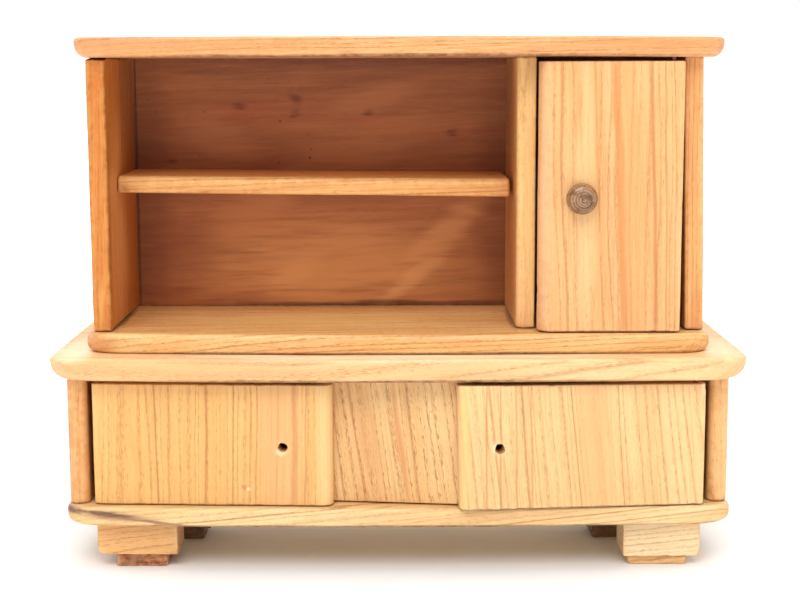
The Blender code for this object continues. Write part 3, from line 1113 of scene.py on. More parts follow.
def rolled(corners: Sequence[tuple[float, float, float]], steps: int = 4) -> list[Point]:
    """A profile with each corner turned into a small arc.

    Args:
        corners: (radius, height, rounding) for each corner of the profile.
        steps: edges in each arc.

    Returns:
        The finer profile.
    """
    profile: list[Point] = []
    for index, (x, y, size) in enumerate(corners):
        if size <= 0 or index in (0, len(corners) - 1):
            profile.append((x, y))
            continue
        here = Vector((x, y))
        before = (Vector(corners[index - 1][:2]) - here).normalized() * size
        after = (Vector(corners[index + 1][:2]) - here).normalized() * size
        for step in range(steps + 1):
            t = step / steps
            spot = here + before * (1 - t) ** 2 + after * t * t
            profile.append((spot.x, spot.y))
    return profile


def drill(piece: bpy.types.Object, start: Vector, end: Vector, radius: float) -> None:
    """Bore a slightly ragged round hole through a piece, in the piece's own frame.

    Args:
        piece: the piece, not yet riding on anything.
        start: one end of the bore.
        end: the other end.
        radius: its radius.
    """
    shape = bmesh.new()
    axis = end - start
    bmesh.ops.create_cone(shape, cap_ends=True, segments=28, radius1=radius,
                          radius2=radius, depth=axis.length)
    turn = Vector((0, 0, 1)).rotation_difference(axis.normalized()).to_matrix().to_4x4()
    place = Matrix.Translation((start + end) / 2) @ turn
    bmesh.ops.transform(shape, matrix=place, verts=shape.verts)
    mesh = bpy.data.meshes.new("bore")
    shape.to_mesh(mesh)
    shape.free()
    cutter = bpy.data.objects.new("bore", mesh)
    bpy.context.scene.collection.objects.link(cutter)
    cutter.matrix_world = piece.matrix_world
    cut = piece.modifiers.new("bore", "BOOLEAN")
    cut.object = cutter
    cut.solver = "EXACT"
    settle(piece)
    bpy.data.objects.remove(cutter, do_unlink=True)


def settle(piece: bpy.types.Object) -> None:
    """Apply every modifier of a piece.

    Args:
        piece: the piece.
    """
    bpy.context.view_layer.update()
    evaluated = piece.evaluated_get(bpy.context.evaluated_depsgraph_get())
    mesh = bpy.data.meshes.new_from_object(evaluated)
    piece.modifiers.clear()
    piece.data = mesh


def mark_edges(mesh: bpy.types.Mesh, holes: Iterable[tuple[Vector, float]] = ()) -> None:
    """Store how rubbed each point is, from how sharply the surface turns, and the painted
    shade on the walls of holes.

    Args:
        mesh: the mesh to mark.
        holes: (centre, reach) of holes, whose walls get painted shade.
    """
    shape = bmesh.new()
    shape.from_mesh(mesh)
    shape.normal_update()
    sharp = [0.0] * len(shape.verts)
    for edge in shape.edges:
        if len(edge.link_faces) == 2:
            turn = edge.calc_face_angle_signed()
            for corner in edge.verts:
                sharp[corner.index] = max(sharp[corner.index], turn)
    for _ in range(2):
        sharp = [max(sharp[corner.index] * 0.6,
                     sum(sharp[edge.other_vert(corner).index] for edge in corner.link_edges)
                     / max(1, len(corner.link_edges)))
                 for corner in shape.verts]
    spots = [corner.co.copy() for corner in shape.verts]
    shape.free()
    edge_layer = mesh.attributes.new("edge", "FLOAT", "POINT")
    # This attribute carries the painted shade on the walls of holes.
    hole_shade_layer = mesh.attributes.new("dirt", "FLOAT", "POINT")
    for index, spot in enumerate(spots):
        edge_layer.data[index].value = min(1.0, sharp[index] / 0.3)
        near = [1.0 for centre, reach in holes if (spot - centre).length < reach]
        hole_shade_layer.data[index].value = max(near, default=0.0)


# ======================================================================================
# the workshop: what every piece has in common
# ======================================================================================
class Bench:
    """Finishes pieces and puts them on the frame's bodies."""

    def __init__(self, frame: dict) -> None:
        """Keep the frame.
        """
        self.frame = frame
        self.joints = {joint["name"]: joint for joint in frame["joints"]}

    def local_box(self, node: str, place: Matrix) -> tuple[Vector, Vector]:
        """A node's box in a turned frame.

        Args:
            node: the node's name.
            place: the turned frame.

        Returns:
            Lowest and highest corner in that frame.
        """
        back = place.inverted()
        spots = [back @ corner.co for corner in self.frame["nodes"][node].data.vertices]
        low = Vector([min(spot[axis] for spot in spots) for axis in range(3)])
        high = Vector([max(spot[axis] for spot in spots) for axis in range(3)])
        return low, high

    def finish(self, mesh: bpy.types.Mesh, name: str, look: Wood | Steel, body: str,
               slot: str, nodes: Sequence[str], place: Matrix | None = None,
               bores: Sequence[tuple[Vector, Vector, float]] = (),
               holes: Sequence[tuple[Vector, float]] = ()) -> bpy.types.Object:
        """Turn a mesh into a finished piece on its body.

        Args:
            mesh: the piece's mesh.
            name: the piece's name.
            look: its finish.
            body: the body that it moves with.
            slot: the record's material slot; not used.
            nodes: the CAD nodes that it stands for.
            place: its place, if its mesh isn't in the frame's own coordinates.
            bores: (start, end, radius) of holes through it.
            holes: (centre, reach) of places that get painted shade.

        Returns:
            The piece.
        """
        piece = bpy.data.objects.new(name, mesh)
        bpy.context.scene.collection.objects.link(piece)
        piece.matrix_world = place or Matrix.Identity(4)
        for start, end, radius in bores:
            drill(piece, start, end, radius)
        mark_edges(piece.data, holes)
        piece.data.materials.clear()
        piece.data.materials.append(look.build())
        piece.data.shade_smooth()
        piece.data.set_sharp_from_angle(angle=SHARP_EDGE)
        weighted = piece.modifiers.new("true_faces", "WEIGHTED_NORMAL")
        weighted.keep_sharp = True
        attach(piece, body)
        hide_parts(*nodes)
        LOG.info("%-28s %6d faces on %s", name, len(piece.data.polygons), body)
        return piece

    def board(self, slab: Slab, node: str, look: Wood, slot: str = BOARD_SLOT,
              place: Matrix | None = None) -> None:
        """Finish a slab that is fixed to the cabinet, and name it after its CAD node.

        Args:
            slab: its shape.
            node: its CAD node.
            look: its wood.
            slot: the record's material slot.
            place: its place, if it isn't in the frame's own coordinates.
        """
        self.finish(slab.mesh(node), node + "_finished", look, CABINET, slot, [node], place)


# ======================================================================================
# the cabinet's pieces
# ======================================================================================
HONEY = Wood("honey_board")
UPRIGHT = replace(HONEY, grain=Grain.ALONG_Z)
ROSY: Colour = (0.62, 0.255, 0.09)
# Painted crevice shade: the dark colour laid along joints, gaps and inside corners, where
# shade falls.
PAINTED_CREVICE_SHADE: Colour = (0.13, 0.04, 0.018)
TORN: Colour = (0.88, 0.70, 0.45)


@dataclass(frozen=True)
class LongBoard:
    """One of the four long bowed boards that carry the two sections.

    Attributes:
        node: its CAD node.
        look: its wood.
        plan: its plan.
        under: rounding of its underside.
        over: rounding of its upper side.
        seed: shifts its unevenness.
        fall: how much lower its right end lies.
    """

    node: str
    look: Wood
    plan: Plan
    under: Round
    over: Round
    seed: int
    fall: float = 0.0

    def build(self, bench: Bench) -> None:
        """Make the board.

        Args:
            bench: the workshop.
        """
        low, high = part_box(self.node)
        closing = 0.14 * MM

        def falling(point: Vector) -> Vector:
            """The right half sags towards its end."""
            share = max(0.0, point.x / high.x) ** 2
            return point - Vector((0.0, 0.0, self.fall * share))

        slab = Slab(self.plan.outline(low, high, 1.3 * MM), low.z - closing, high.z,
                    Along.Z, self.under, self.over, spacing=0.9 * MM,
                    unevenness=0.08 * MM, seed=self.seed, bends=(falling,),
                    dents=nicks(low, high, self.seed, 14))
        # Painted shade along the front strip of the underside, where the board meets the part
        # below.
        joint = Stain((0, low.y / MM + 2, low.z / MM), (95, 9, 0.8), PAINTED_CREVICE_SHADE, 0.8, soft=0.6,
                      ragged=0.2)
        look = replace(self.look, stains=(*self.look.stains, joint))
        bench.board(slab, self.node, look)


def under_and_over(end: float, run: float, end_over: float, over: float) -> list[Round]:
    """Roundings of a long board, larger at its ends than along its front.

    Args:
        end: how far the underside draws in at the ends.
        run: how high that rounding is.
        end_over: round of the upper edge at the ends.
        over: round of the upper edge along the front.

    Returns:
        The roundings of the underside and the upper side.
    """
    rear = 0.25 * MM
    front = 0.7 * MM
    return [Round((end, end, front, rear), (run, run, 0.8 * MM, rear)),
            Round((end_over, end_over, over, rear), (end_over, end_over, over, rear))]


def long_boards() -> list[LongBoard]:
    """The four long boards, from the top down.

    Returns:
        The boards.
    """
    top = replace(
        HONEY, name="top_board_wood", tone=(0.93, 0.86, 0.9),
        light=(0.80, 0.45, 0.175), dark=(0.70, 0.34, 0.11),
        pith=(-8.0, 55.0), tilt=(2.5, 1.2), ring=1.4, rings=0.7, fibres=1.0, pores=0.6,
        seed=1.0,
        stains=(Stain((-79, -16, 136), (5, 14, 3), (0.60, 0.25, 0.09), 0.5),
                Stain((81, -16, 136), (4, 12, 3), (0.60, 0.27, 0.10), 0.45),
                Stain((-66, -20, 136), (48, 20, 9), (0.64, 0.28, 0.09), 0.55, ragged=3.0),
                Stain((62, -20, 136), (26, 20, 9), (0.66, 0.30, 0.10), 0.3, ragged=3.0)))
    base = replace(
        HONEY, name="upper_base_wood", light=(0.84, 0.53, 0.21), dark=(0.76, 0.40, 0.13),
        pith=(20.0, 38.0), tilt=(1.5, 3.0), ring=1.4, rings=0.75, fibres=1.0, pores=0.6,
        seed=2.0,
        stains=(Stain((-79, -20, 60), (9, 16, 4), (0.54, 0.21, 0.065), 0.8),
                Stain((-60, -30, 60), (30, 12, 5), (0.70, 0.33, 0.10), 0.5, ragged=3.0),
                # Painted shade along the rear edge of the bay floor and over its rear half.
                Stain((0, 27.5, 62.6), (80, 2.0, 2), PAINTED_CREVICE_SHADE, 0.8, ragged=0.5),
                Stain((-22, 24, 62.6), (66, 12, 2), (0.50, 0.19, 0.055), 0.5, ragged=2.0),
                # A painted pool of light over the front half of the bay floor.
                Stain((-22, 2, 62.6), (60, 16, 2), (0.88, 0.60, 0.20), 0.5, ragged=2.0),
                # Painted shade in the corners with the left side and the divider.
                Stain((-74.5, 4, 62.6), (1.4, 25, 2), PAINTED_CREVICE_SHADE, 0.7, ragged=0.3),
                Stain((30.8, 4, 62.6), (1.4, 25, 2), PAINTED_CREVICE_SHADE, 0.7, ragged=0.3)))
    lower_top = replace(
        HONEY, name="lower_top_wood", tone=(0.98, 0.94, 0.95),
        light=(0.86, 0.59, 0.29), dark=(0.80, 0.49, 0.215),
        blush=(0.78, 0.46, 0.20), late=(0.55, 0.25, 0.09), pith=(12.0, -60.0),
        tilt=(-2.0, 2.2), ring=1.8, rings=0.65, fibres=0.85, pores=0.6, seed=3.0,
        stains=(Stain((-62, -30, 54), (50, 12, 6), (0.74, 0.40, 0.16), 0.45, ragged=3.0),
                # Painted highlight: the front strip of the upper face made almost white.
                Stain((0, -24, 58.2), (90, 14, 1.9), (1.0, 0.90, 0.62), 0.9, ragged=0.5),
                Stain((-84, -12, 57.3), (8, 26, 2.6), (0.98, 0.83, 0.55), 0.8),
                Stain((84, -12, 57.3), (8, 26, 2.2), (0.96, 0.80, 0.50), 0.6)))
    bottom = replace(
        HONEY, name="bottom_wood", tone=(1.0, 1.04, 1.06),
        light=(0.85, 0.59, 0.29), dark=(0.79, 0.48, 0.20),
        blush=(0.78, 0.44, 0.18), late=(0.48, 0.20, 0.07), pith=(-16.0, 34.0),
        tilt=(3.5, 5.0), ring=1.5, rings=0.85, seed=4.0,
        stains=(Stain((-74, -25, 15.3), (17, 9, 1.9), (0.30, 0.14, 0.085), 0.8, -6.0,
                      soft=0.9, ragged=0.5),
                Stain((-77, -25, 15.9), (12, 9, 0.8), (0.13, 0.055, 0.035), 0.85, -6.0,
                      ragged=0.4),
                Stain((-62, -25, 13.6), (15, 7, 0.6), (0.26, 0.10, 0.05), 0.8, -6.0,
                      ragged=0.3),
                Stain((-86, -20, 16.3), (5, 14, 1.7), (0.13, 0.055, 0.035), 0.95,
                      ragged=0.3)))
    return [
        LongBoard("top_board", top, Plan((3 * MM, 2 * MM), 8 * MM, (5 * MM, 5 * MM)),
                  *under_and_over(3.2 * MM, 3.4 * MM, 0.9 * MM, 0.6 * MM), seed=1,
                  fall=0.35 * MM),
        LongBoard("upper_base_board", base,
                  Plan((4.2 * MM, 1.6 * MM), 9 * MM, (3.5 * MM, 5 * MM)),
                  *under_and_over(2.3 * MM, 2.3 * MM, 1.8 * MM, 1.2 * MM), seed=2,
                  fall=0.15 * MM),
        LongBoard("lower_top_board", lower_top,
                  Plan((4.4 * MM, 1.9 * MM), 9 * MM, (4.2 * MM, 6 * MM)),
                  *under_and_over(4.3 * MM, 4.5 * MM, 1.0 * MM, 0.9 * MM), seed=3),
        LongBoard("bottom_board", bottom,
                  Plan((3.2 * MM, 2.6 * MM), 8 * MM, (5 * MM, 5 * MM)),
                  *under_and_over(2.3 * MM, 2.3 * MM, 1.4 * MM, 0.9 * MM), seed=4),
    ]


@dataclass(frozen=True)
class Upright:
    """A side board or the divider.

    Attributes:
        node: its CAD node.
        look: its wood.
        noses: radii of its left and right front edges.
        seed: shifts its unevenness.
        lean: how far it leans in at its top.
        short: how far its sawn top slopes away from the board above, towards its front.
    """

    node: str
    look: Wood
    noses: Point
    seed: int
    lean: float = 0.0
    short: float = 0.0

    def build(self, bench: Bench) -> None:
        """Make the board.

        Args:
            bench: the workshop.
        """
        low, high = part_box(self.node)
        closing = 0.1 * MM

        def leaning(point: Vector) -> Vector:
            """The board leans in, more the higher."""
            rise = (point.z - low.z) / (high.z - low.z)
            return point - Vector((self.lean * rise, 0.0, 0.0))

        def sawn(point: Vector) -> Vector:
            """The top slopes away towards the front.

            Args:
                point: a point of the board.

            Returns:
                Where it comes to lie.
            """
            close = max(0.0, 1 - (high.z - point.z) / (2 * MM))
            near = max(0.0, 1 - (point.y - low.y) / (7 * MM))
            rough = 0.9 + 0.6 * noise.noise(Vector((point.x, point.y, self.seed)) / MM)
            return point - Vector((0.0, 0.0, self.short * close * near * rough))

        outline = arc_outline((low.x + self.lean, low.y), (high.x, high.y),
                              (*self.noses, 0.7 * MM, 0.7 * MM), 1.0 * MM, 7)
        slab = Slab(outline, low.z - closing, high.z + closing, Along.Z,
                    Round.even(0.45 * MM), SANDED, spacing=1.0 * MM,
                    unevenness=0.07 * MM, seed=self.seed, bends=(leaning, sawn),
                    dents=nicks(low, high, self.seed, 12))
        middle = (low + high) / 2 / MM
        # Painted shade along the foot and the head of the board, where it meets the boards
        # below and above.
        joints = tuple(Stain((middle.x, middle.y, end / MM), (7, 40, 0.85), PAINTED_CREVICE_SHADE, 0.95,
                             soft=0.6, ragged=0.2) for end in (low.z, high.z))
        look = replace(self.look, stains=self.look.stains + joints)
        bench.board(slab, self.node, look)


def uprights() -> list[Upright]:
    """The five standing boards.

    Returns:
        The boards.
    """
    left = replace(
        UPRIGHT, name="upper_left_wood", tone=(0.82, 0.73, 0.52), light=(0.72, 0.27, 0.062),
        dark=(0.60, 0.19, 0.04), blush=(0.60, 0.19, 0.045), late=(0.34, 0.09, 0.02),
        pale=(0.82, 0.44, 0.16), pith=(46.0, 12.0), tilt=(1.5, -1.0), seed=5.0, wear=0.6,
        # Painted shade over the upper rear of the inner face, under the top board.
        stains=(Stain((-74.7, 24, 130), (3, 34, 42), (0.30, 0.13, 0.085), 0.65, ragged=2.0),
                # A painted pool of light low down at the front of the inner face.
                Stain((-74.7, -2, 84), (2.5, 17, 48), (0.98, 0.50, 0.24), 0.6, ragged=1.5),
                # Painted shade in the back corner of the inner face.
                Stain((-74.7, 27.6, 98), (3, 1.2, 60), PAINTED_CREVICE_SHADE, 0.95, soft=0.4, ragged=0.2),
                # Painted shade along the front strips of the outer face and the inner face,
                # which face sideways.
                Stain((-79.7, -16, 98), (0.55, 5, 60), (0.24, 0.07, 0.025), 0.8,
                      ragged=0.3),
                Stain((-74.8, -16.4, 98), (0.5, 2.0, 60), (0.24, 0.07, 0.025), 0.5,
                      ragged=0.3),
                Stain((-77, -17.5, 70), (1.4, 3, 9), (0.84, 0.47, 0.17), 0.6, ragged=1.0)))
    right = replace(
        UPRIGHT, name="upper_right_wood", tone=(0.94, 0.90, 0.82),
        light=(0.77, 0.40, 0.145), dark=(0.68, 0.30, 0.09),
        pith=(38.0, 20.0), tilt=(-1.5, 0.5), seed=6.0,
        stains=(Stain((78, -17, 66), (3, 6, 12), (0.60, 0.24, 0.08), 0.5),))
    divider = replace(
        UPRIGHT, name="divider_wood", light=(0.82, 0.50, 0.185), dark=(0.76, 0.41, 0.13),
        pith=(-30.0, 26.0), tilt=(1.0, 0.6), seed=7.0,
        # Painted shade over the left face, which faces away from the light.
        stains=(Stain((30.9, 5, 98), (1.9, 26, 60), (0.42, 0.14, 0.045), 0.8, ragged=0.4),
                # Heavier painted shade at the upper rear of the left face, under the top
                # board.
                Stain((30.9, 20, 128), (2.2, 34, 30), (0.20, 0.07, 0.03), 0.7, ragged=1.5),
                # Painted shade in the back corner of the left face.
                Stain((30.9, 27.5, 98), (3, 1.8, 60), PAINTED_CREVICE_SHADE, 0.9, ragged=0.3)))
    lower_left = replace(
        UPRIGHT, name="lower_left_wood", tone=(0.95, 0.89, 0.84),
        light=(0.80, 0.44, 0.165), dark=(0.72, 0.35, 0.115),
        pith=(60.0, 40.0), tilt=(2.0, -2.0), seed=8.0,
        # Painted shade along the front strip of the outer face, which faces sideways.
        stains=(Stain((-86.4, -20, 34), (1.2, 6, 30), (0.45, 0.17, 0.06), 0.5),
                Stain((-83, -26, 17.5), (4, 6, 3), (0.50, 0.20, 0.07), 0.6)))
    lower_right = replace(
        UPRIGHT, name="lower_right_wood", light=(0.80, 0.46, 0.175),
        dark=(0.72, 0.365, 0.125), pith=(-55.0, 44.0), tilt=(-2.0, 2.0), seed=9.0)
    return [
        Upright("upper_left_side", left, (1.2 * MM, 0.8 * MM), 5, short=0.75 * MM),
        Upright("upper_right_side", right, (0.8 * MM, 1.0 * MM), 6, lean=1.6 * MM),
        Upright("divider", divider, (1.8 * MM, 0.35 * MM), 7),
        Upright("lower_left_side", lower_left, (2.6 * MM, 2.5 * MM), 8),
        Upright("lower_right_side", lower_right, (2.5 * MM, 2.6 * MM), 9),
    ]


@dataclass
class Interior:
    """Shelf, centre panel, door stop and the thin backs.

    Attributes:
        shelf_drop: how much lower the shelf's right end is.
        panel_turn: how far the centre panel is askew, in degrees.
    """

    shelf_drop: float = 1.1 * MM
    panel_turn: float = -7.0

    def build(self, bench: Bench) -> None:
        """Make them all.

        Args:
            bench: the workshop.
        """
        self._shelf(bench)
        self._centre_panel(bench)
        self._door_stop(bench)
        self._back(bench, "upper_back_panel", 12.0, self._bay_marks)
        self._back(bench, "lower_back_panel", 13.0)

    @staticmethod
    def _bay_marks(face: Callable[..., Stain]) -> list[Stain]:
        """Broad patches, painted light and shade, smudges and specks of the back of the open
        bay.

        Args:
            face: a maker of stains on the back's front face.

        Returns:
            The stains, from the first laid to the last.
        """
        broad = [face(x, z, wide, tall, colour, strength, turn, ragged=1.3)
                 for x, z, wide, tall, colour, strength, turn in (
                     # Painted light over the lower half of the back, under the shelf.
                     (-20, 74, 58, 20, (0.68, 0.31, 0.11), 0.85, 0.0),
                     (-42, 90, 26, 9, (0.54, 0.22, 0.075), 0.6, 35.0),
                     (14, 84, 24, 6, (0.74, 0.36, 0.14), 0.6, 40.0),
                     (-12, 108, 34, 9, (0.54, 0.22, 0.08), 0.5, 12.0),
                     # Painted shade at the ends, next to the left side and the divider.
                     (-72, 98, 11, 60, (0.20, 0.065, 0.028), 0.6, 0.0),
                     (30, 98, 11, 60, (0.20, 0.065, 0.028), 0.5, 0.0),
                     # Painted shade under the top board.
                     (-22, 134, 80, 14, (0.17, 0.055, 0.024), 0.7, 0.0))]
        # Painted shade in the corner with the left side.
        corner = face(-74.3, 98, 0.45, 60, PAINTED_CREVICE_SHADE, 0.95, soft=0.4, ragged=0.1)
        drifting = [face(x, z, wide, tall, colour, strength, turn, ragged=1.3)
                    for x, z, wide, tall, colour, strength, turn in (
                        (-60, 80, 12, 14, (0.34, 0.11, 0.04), 0.5, 30.0),
                        (-52, 112, 16, 9, (0.50, 0.20, 0.085), 0.5, -25.0),
                        (-6, 122, 20, 6, (0.46, 0.175, 0.07), 0.5, 15.0),
                        (-34, 104, 13, 4, (0.26, 0.07, 0.03), 0.4, 20.0),
                        (4, 70, 18, 3.5, (0.80, 0.42, 0.17), 0.5, 38.0),
                        (-30, 72, 14, 5, (0.74, 0.36, 0.13), 0.4, 30.0))]
        smudges = [face(x, z, size * 1.5, size, (0.15, 0.04, 0.02), 0.8, turn, soft=0.95)
                   for x, z, size, turn in ((-45, 120, 2.2, 10), (-29, 122, 2.4, -60),
                                            (-29, 118, 1.6, 30), (-8, 118, 1.6, 0),
                                            (16, 112, 1.8, 15), (-64, 104, 1.8, 0),
                                            (-70, 101, 1.5, 0))]
        draw = random.Random(41)
        specks = []
        for _ in range(12):
            x, z = -72 + 60 * draw.random() ** 1.4, draw.uniform(99, 128)
            size = draw.uniform(0.3, 0.7)
            specks.append(face(x, z, size, size, (0.12, 0.03, 0.015),
                               draw.uniform(0.6, 0.95), soft=0.8, ragged=0.3))
        return [*broad, corner, *drifting, *smudges, *specks]

    def _shelf(self, bench: Bench) -> None:
        """The shelf, its front edge rolled over and its corners rubbed round.

        Args:
            bench: the workshop.
        """
        low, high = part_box("shelf")
        outline = arc_outline((low.y, low.z + self.shelf_drop), (high.y, high.z),
                              (0.8 * MM, 0.3 * MM, 0.3 * MM, 1.9 * MM), 1.0 * MM, 7)

        def sloping(point: Vector) -> Vector:
            """The shelf drops to the right, and its underside is worn at the left.

            Args:
                point: a point of the shelf.

            Returns:
                Where it comes to lie.
            """
            run = (point.x - low.x) / (high.x - low.x)
            under = max(0.0, 1 - (point.z - low.z - self.shelf_drop) / (3 * MM))
            worn = 0.35 * MM * under * (1 - run)
            return point - Vector((0.0, 0.0, self.shelf_drop * run - worn))

        ends = Round((0.9 * MM, 0.1 * MM, 0.3 * MM, 0.5 * MM), (0.9 * MM,) * 4)
        slab = Slab(outline, low.x - 0.12 * MM, high.x, Along.X, ends, ends,
                    spacing=1.4 * MM, unevenness=0.09 * MM, seed=10.0, bends=(sloping,),
                    dents=nicks(low, high, 10, 8))
        look = replace(
            HONEY, name="shelf_wood", tone=(0.94, 0.90, 0.80),
            light=(0.76, 0.40, 0.14), dark=(0.62, 0.26, 0.075),
            pith=(24.0, 50.0), tilt=(2.0, 1.0), rings=0.8, seed=10.0,
            stains=(Stain((-22, 14, 101.5), (70, 15, 1.8), (0.74, 0.34, 0.155), 0.85),
                    Stain((-74, -4, 99), (4, 5, 4), (0.42, 0.13, 0.04), 0.7),
                    Stain((-50, -4, 98), (30, 4, 1.2), (0.50, 0.17, 0.05), 0.6, 0.8,
                          ragged=0.8),
                    # Painted shade along the rear edge, against the back.
                    Stain((-22, 27.5, 101.6), (60, 3, 2), PAINTED_CREVICE_SHADE, 0.7)))
        bench.board(slab, "shelf", look)

    def _centre_panel(self, bench: Bench) -> None:
        """The panel between the lower doors, with slanting grain.

        Args:
            bench: the workshop.
        """
        low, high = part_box("centre_panel")
        middle = (low + high) / 2
        turn = Matrix.Rotation(math.radians(self.panel_turn), 4, "Z")
        place = Matrix.Translation((middle.x, middle.y, 0)) @ turn
        near, far = bench.local_box("centre_panel", place)
        outline = arc_outline((near.x, near.y), (far.x, far.y),
                              (0.8 * MM, 0.8 * MM, 0.3 * MM, 0.3 * MM), 0.9 * MM)
        slab = Slab(outline, near.z, far.z + 0.1 * MM, Along.Z, spacing=0.9 * MM,
                    seed=11.0)
        face, slope = on_face(-2.4, 5), 8.5
        look = replace(
            UPRIGHT, name="centre_panel_wood", tone=(1.0, 1.05, 1.05),
            light=(0.82, 0.52, 0.235), dark=(0.72, 0.39, 0.15), blush=(0.76, 0.40, 0.175),
            pith=(26.0, 30.0), tilt=(0.0, slope), pores=0.8, ring=1.8, seed=11.0,
            stains=(face(1.6, 33, 1.5, 26, ROSY, 0.75, slope),
                    face(18.5, 33, 2.3, 26, ROSY, 0.6, 4.0),
                    face(-7, 36, 3.5, 20, (0.66, 0.32, 0.13), 0.5, slope)))
        bench.board(slab, "centre_panel", look, place=place)

    def _door_stop(self, bench: Bench) -> None:
        """The strip that the upper door closes against.

        Args:
            bench: the workshop.
        """
        low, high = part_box("upper_door_stop")
        outline = arc_outline((low.x, low.y), (high.x, high.y), (0.4 * MM,) * 4, 0.8 * MM)
        slab = Slab(outline, low.z - 0.1 * MM, high.z, Along.Z, spacing=0.6 * MM, seed=14.0,
                    finish=Round.even(0.5 * MM), dents=nicks(low, high, 14, 4))
        look = replace(HONEY, name="door_stop_wood", seed=14.0)
        bench.finish(slab.mesh("upper_door_stop"), "door_stop_finished", look, CABINET,
                     BOARD_SLOT, ["upper_door_stop"])

    @staticmethod
    def _back(bench: Bench, name: str, seed: float,
              marks: Callable[[Callable[..., Stain]], list[Stain]] | None = None) -> None:
        """A thin ply back, with a front face that is broken away along its lower edge.

        Args:
            bench: the workshop.
            name: its CAD node.
            seed: shifts its wood and its unevenness.
            marks: makes the stains of its front face, if it shows.
        """
        low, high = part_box(name)
        closing = 0.36 * MM
        outline = arc_outline((low.x, low.y - 0.14 * MM), (high.x, high.y), (0.2 * MM,) * 4,
                              1.2 * MM, 3)

        def broken(point: Vector) -> Vector:
            """The front ply is broken back along the lower edge.

            Args:
                point: a point of the back.

            Returns:
                Where it comes to lie.
            """
            near = max(0.0, 1 - (point.z - low.z + closing) / (1.6 * MM))
            wave = noise.noise(Vector((point.x / MM * 0.13, seed, 0.0)))
            chips = noise.noise(Vector((point.x / MM * 0.7, seed, 4.0)))
            front = 1.0 if point.y < (low.y + high.y) / 2 else 0.0
            depth = max(0.0, 0.25 + wave * 0.7 + chips * 0.5) * MM
            return point + Vector((0.0, depth * near * front, 0.0))

        slab = Slab(outline, low.z - closing, high.z + closing, Along.Z,
                    Round.even(0.15 * MM), Round.even(0.15 * MM), spacing=1.0 * MM,
                    unevenness=0.06 * MM, seed=seed, bends=(broken,))
        face, middle = on_face(low.y / MM - 0.9, 3.1), (low.x + high.x) / 2 / MM
        stains = [*(marks(face) if marks else ()),
                  # Painted shade along the lower and the upper edge of the front face.
                  face(middle, low.z / MM, 85, 1.3, PAINTED_CREVICE_SHADE, 0.85, ragged=0.5),
                  face(middle, high.z / MM, 85, 2.5, PAINTED_CREVICE_SHADE, 0.6)]
        look = Wood(name + "_ply", Grain.ALONG_X, light=(0.42, 0.155, 0.055),
                    dark=(0.30, 0.10, 0.036), blush=(0.38, 0.11, 0.04),
                    late=(0.15, 0.045, 0.018), pale=(0.60, 0.25, 0.09), pith=(4.0, 16.0),
                    tilt=(1.0, 1.5), ring=4.2, rings=0.08, fibres=0.4, pores=0.12,
                    wear=0.2, shine=0.62, tone=(1.06, 1.0, 0.92), seed=seed, cloud=1.0,
                    ends=0.1, stains=tuple(stains))
        bench.board(slab, name, look, "ply_back")


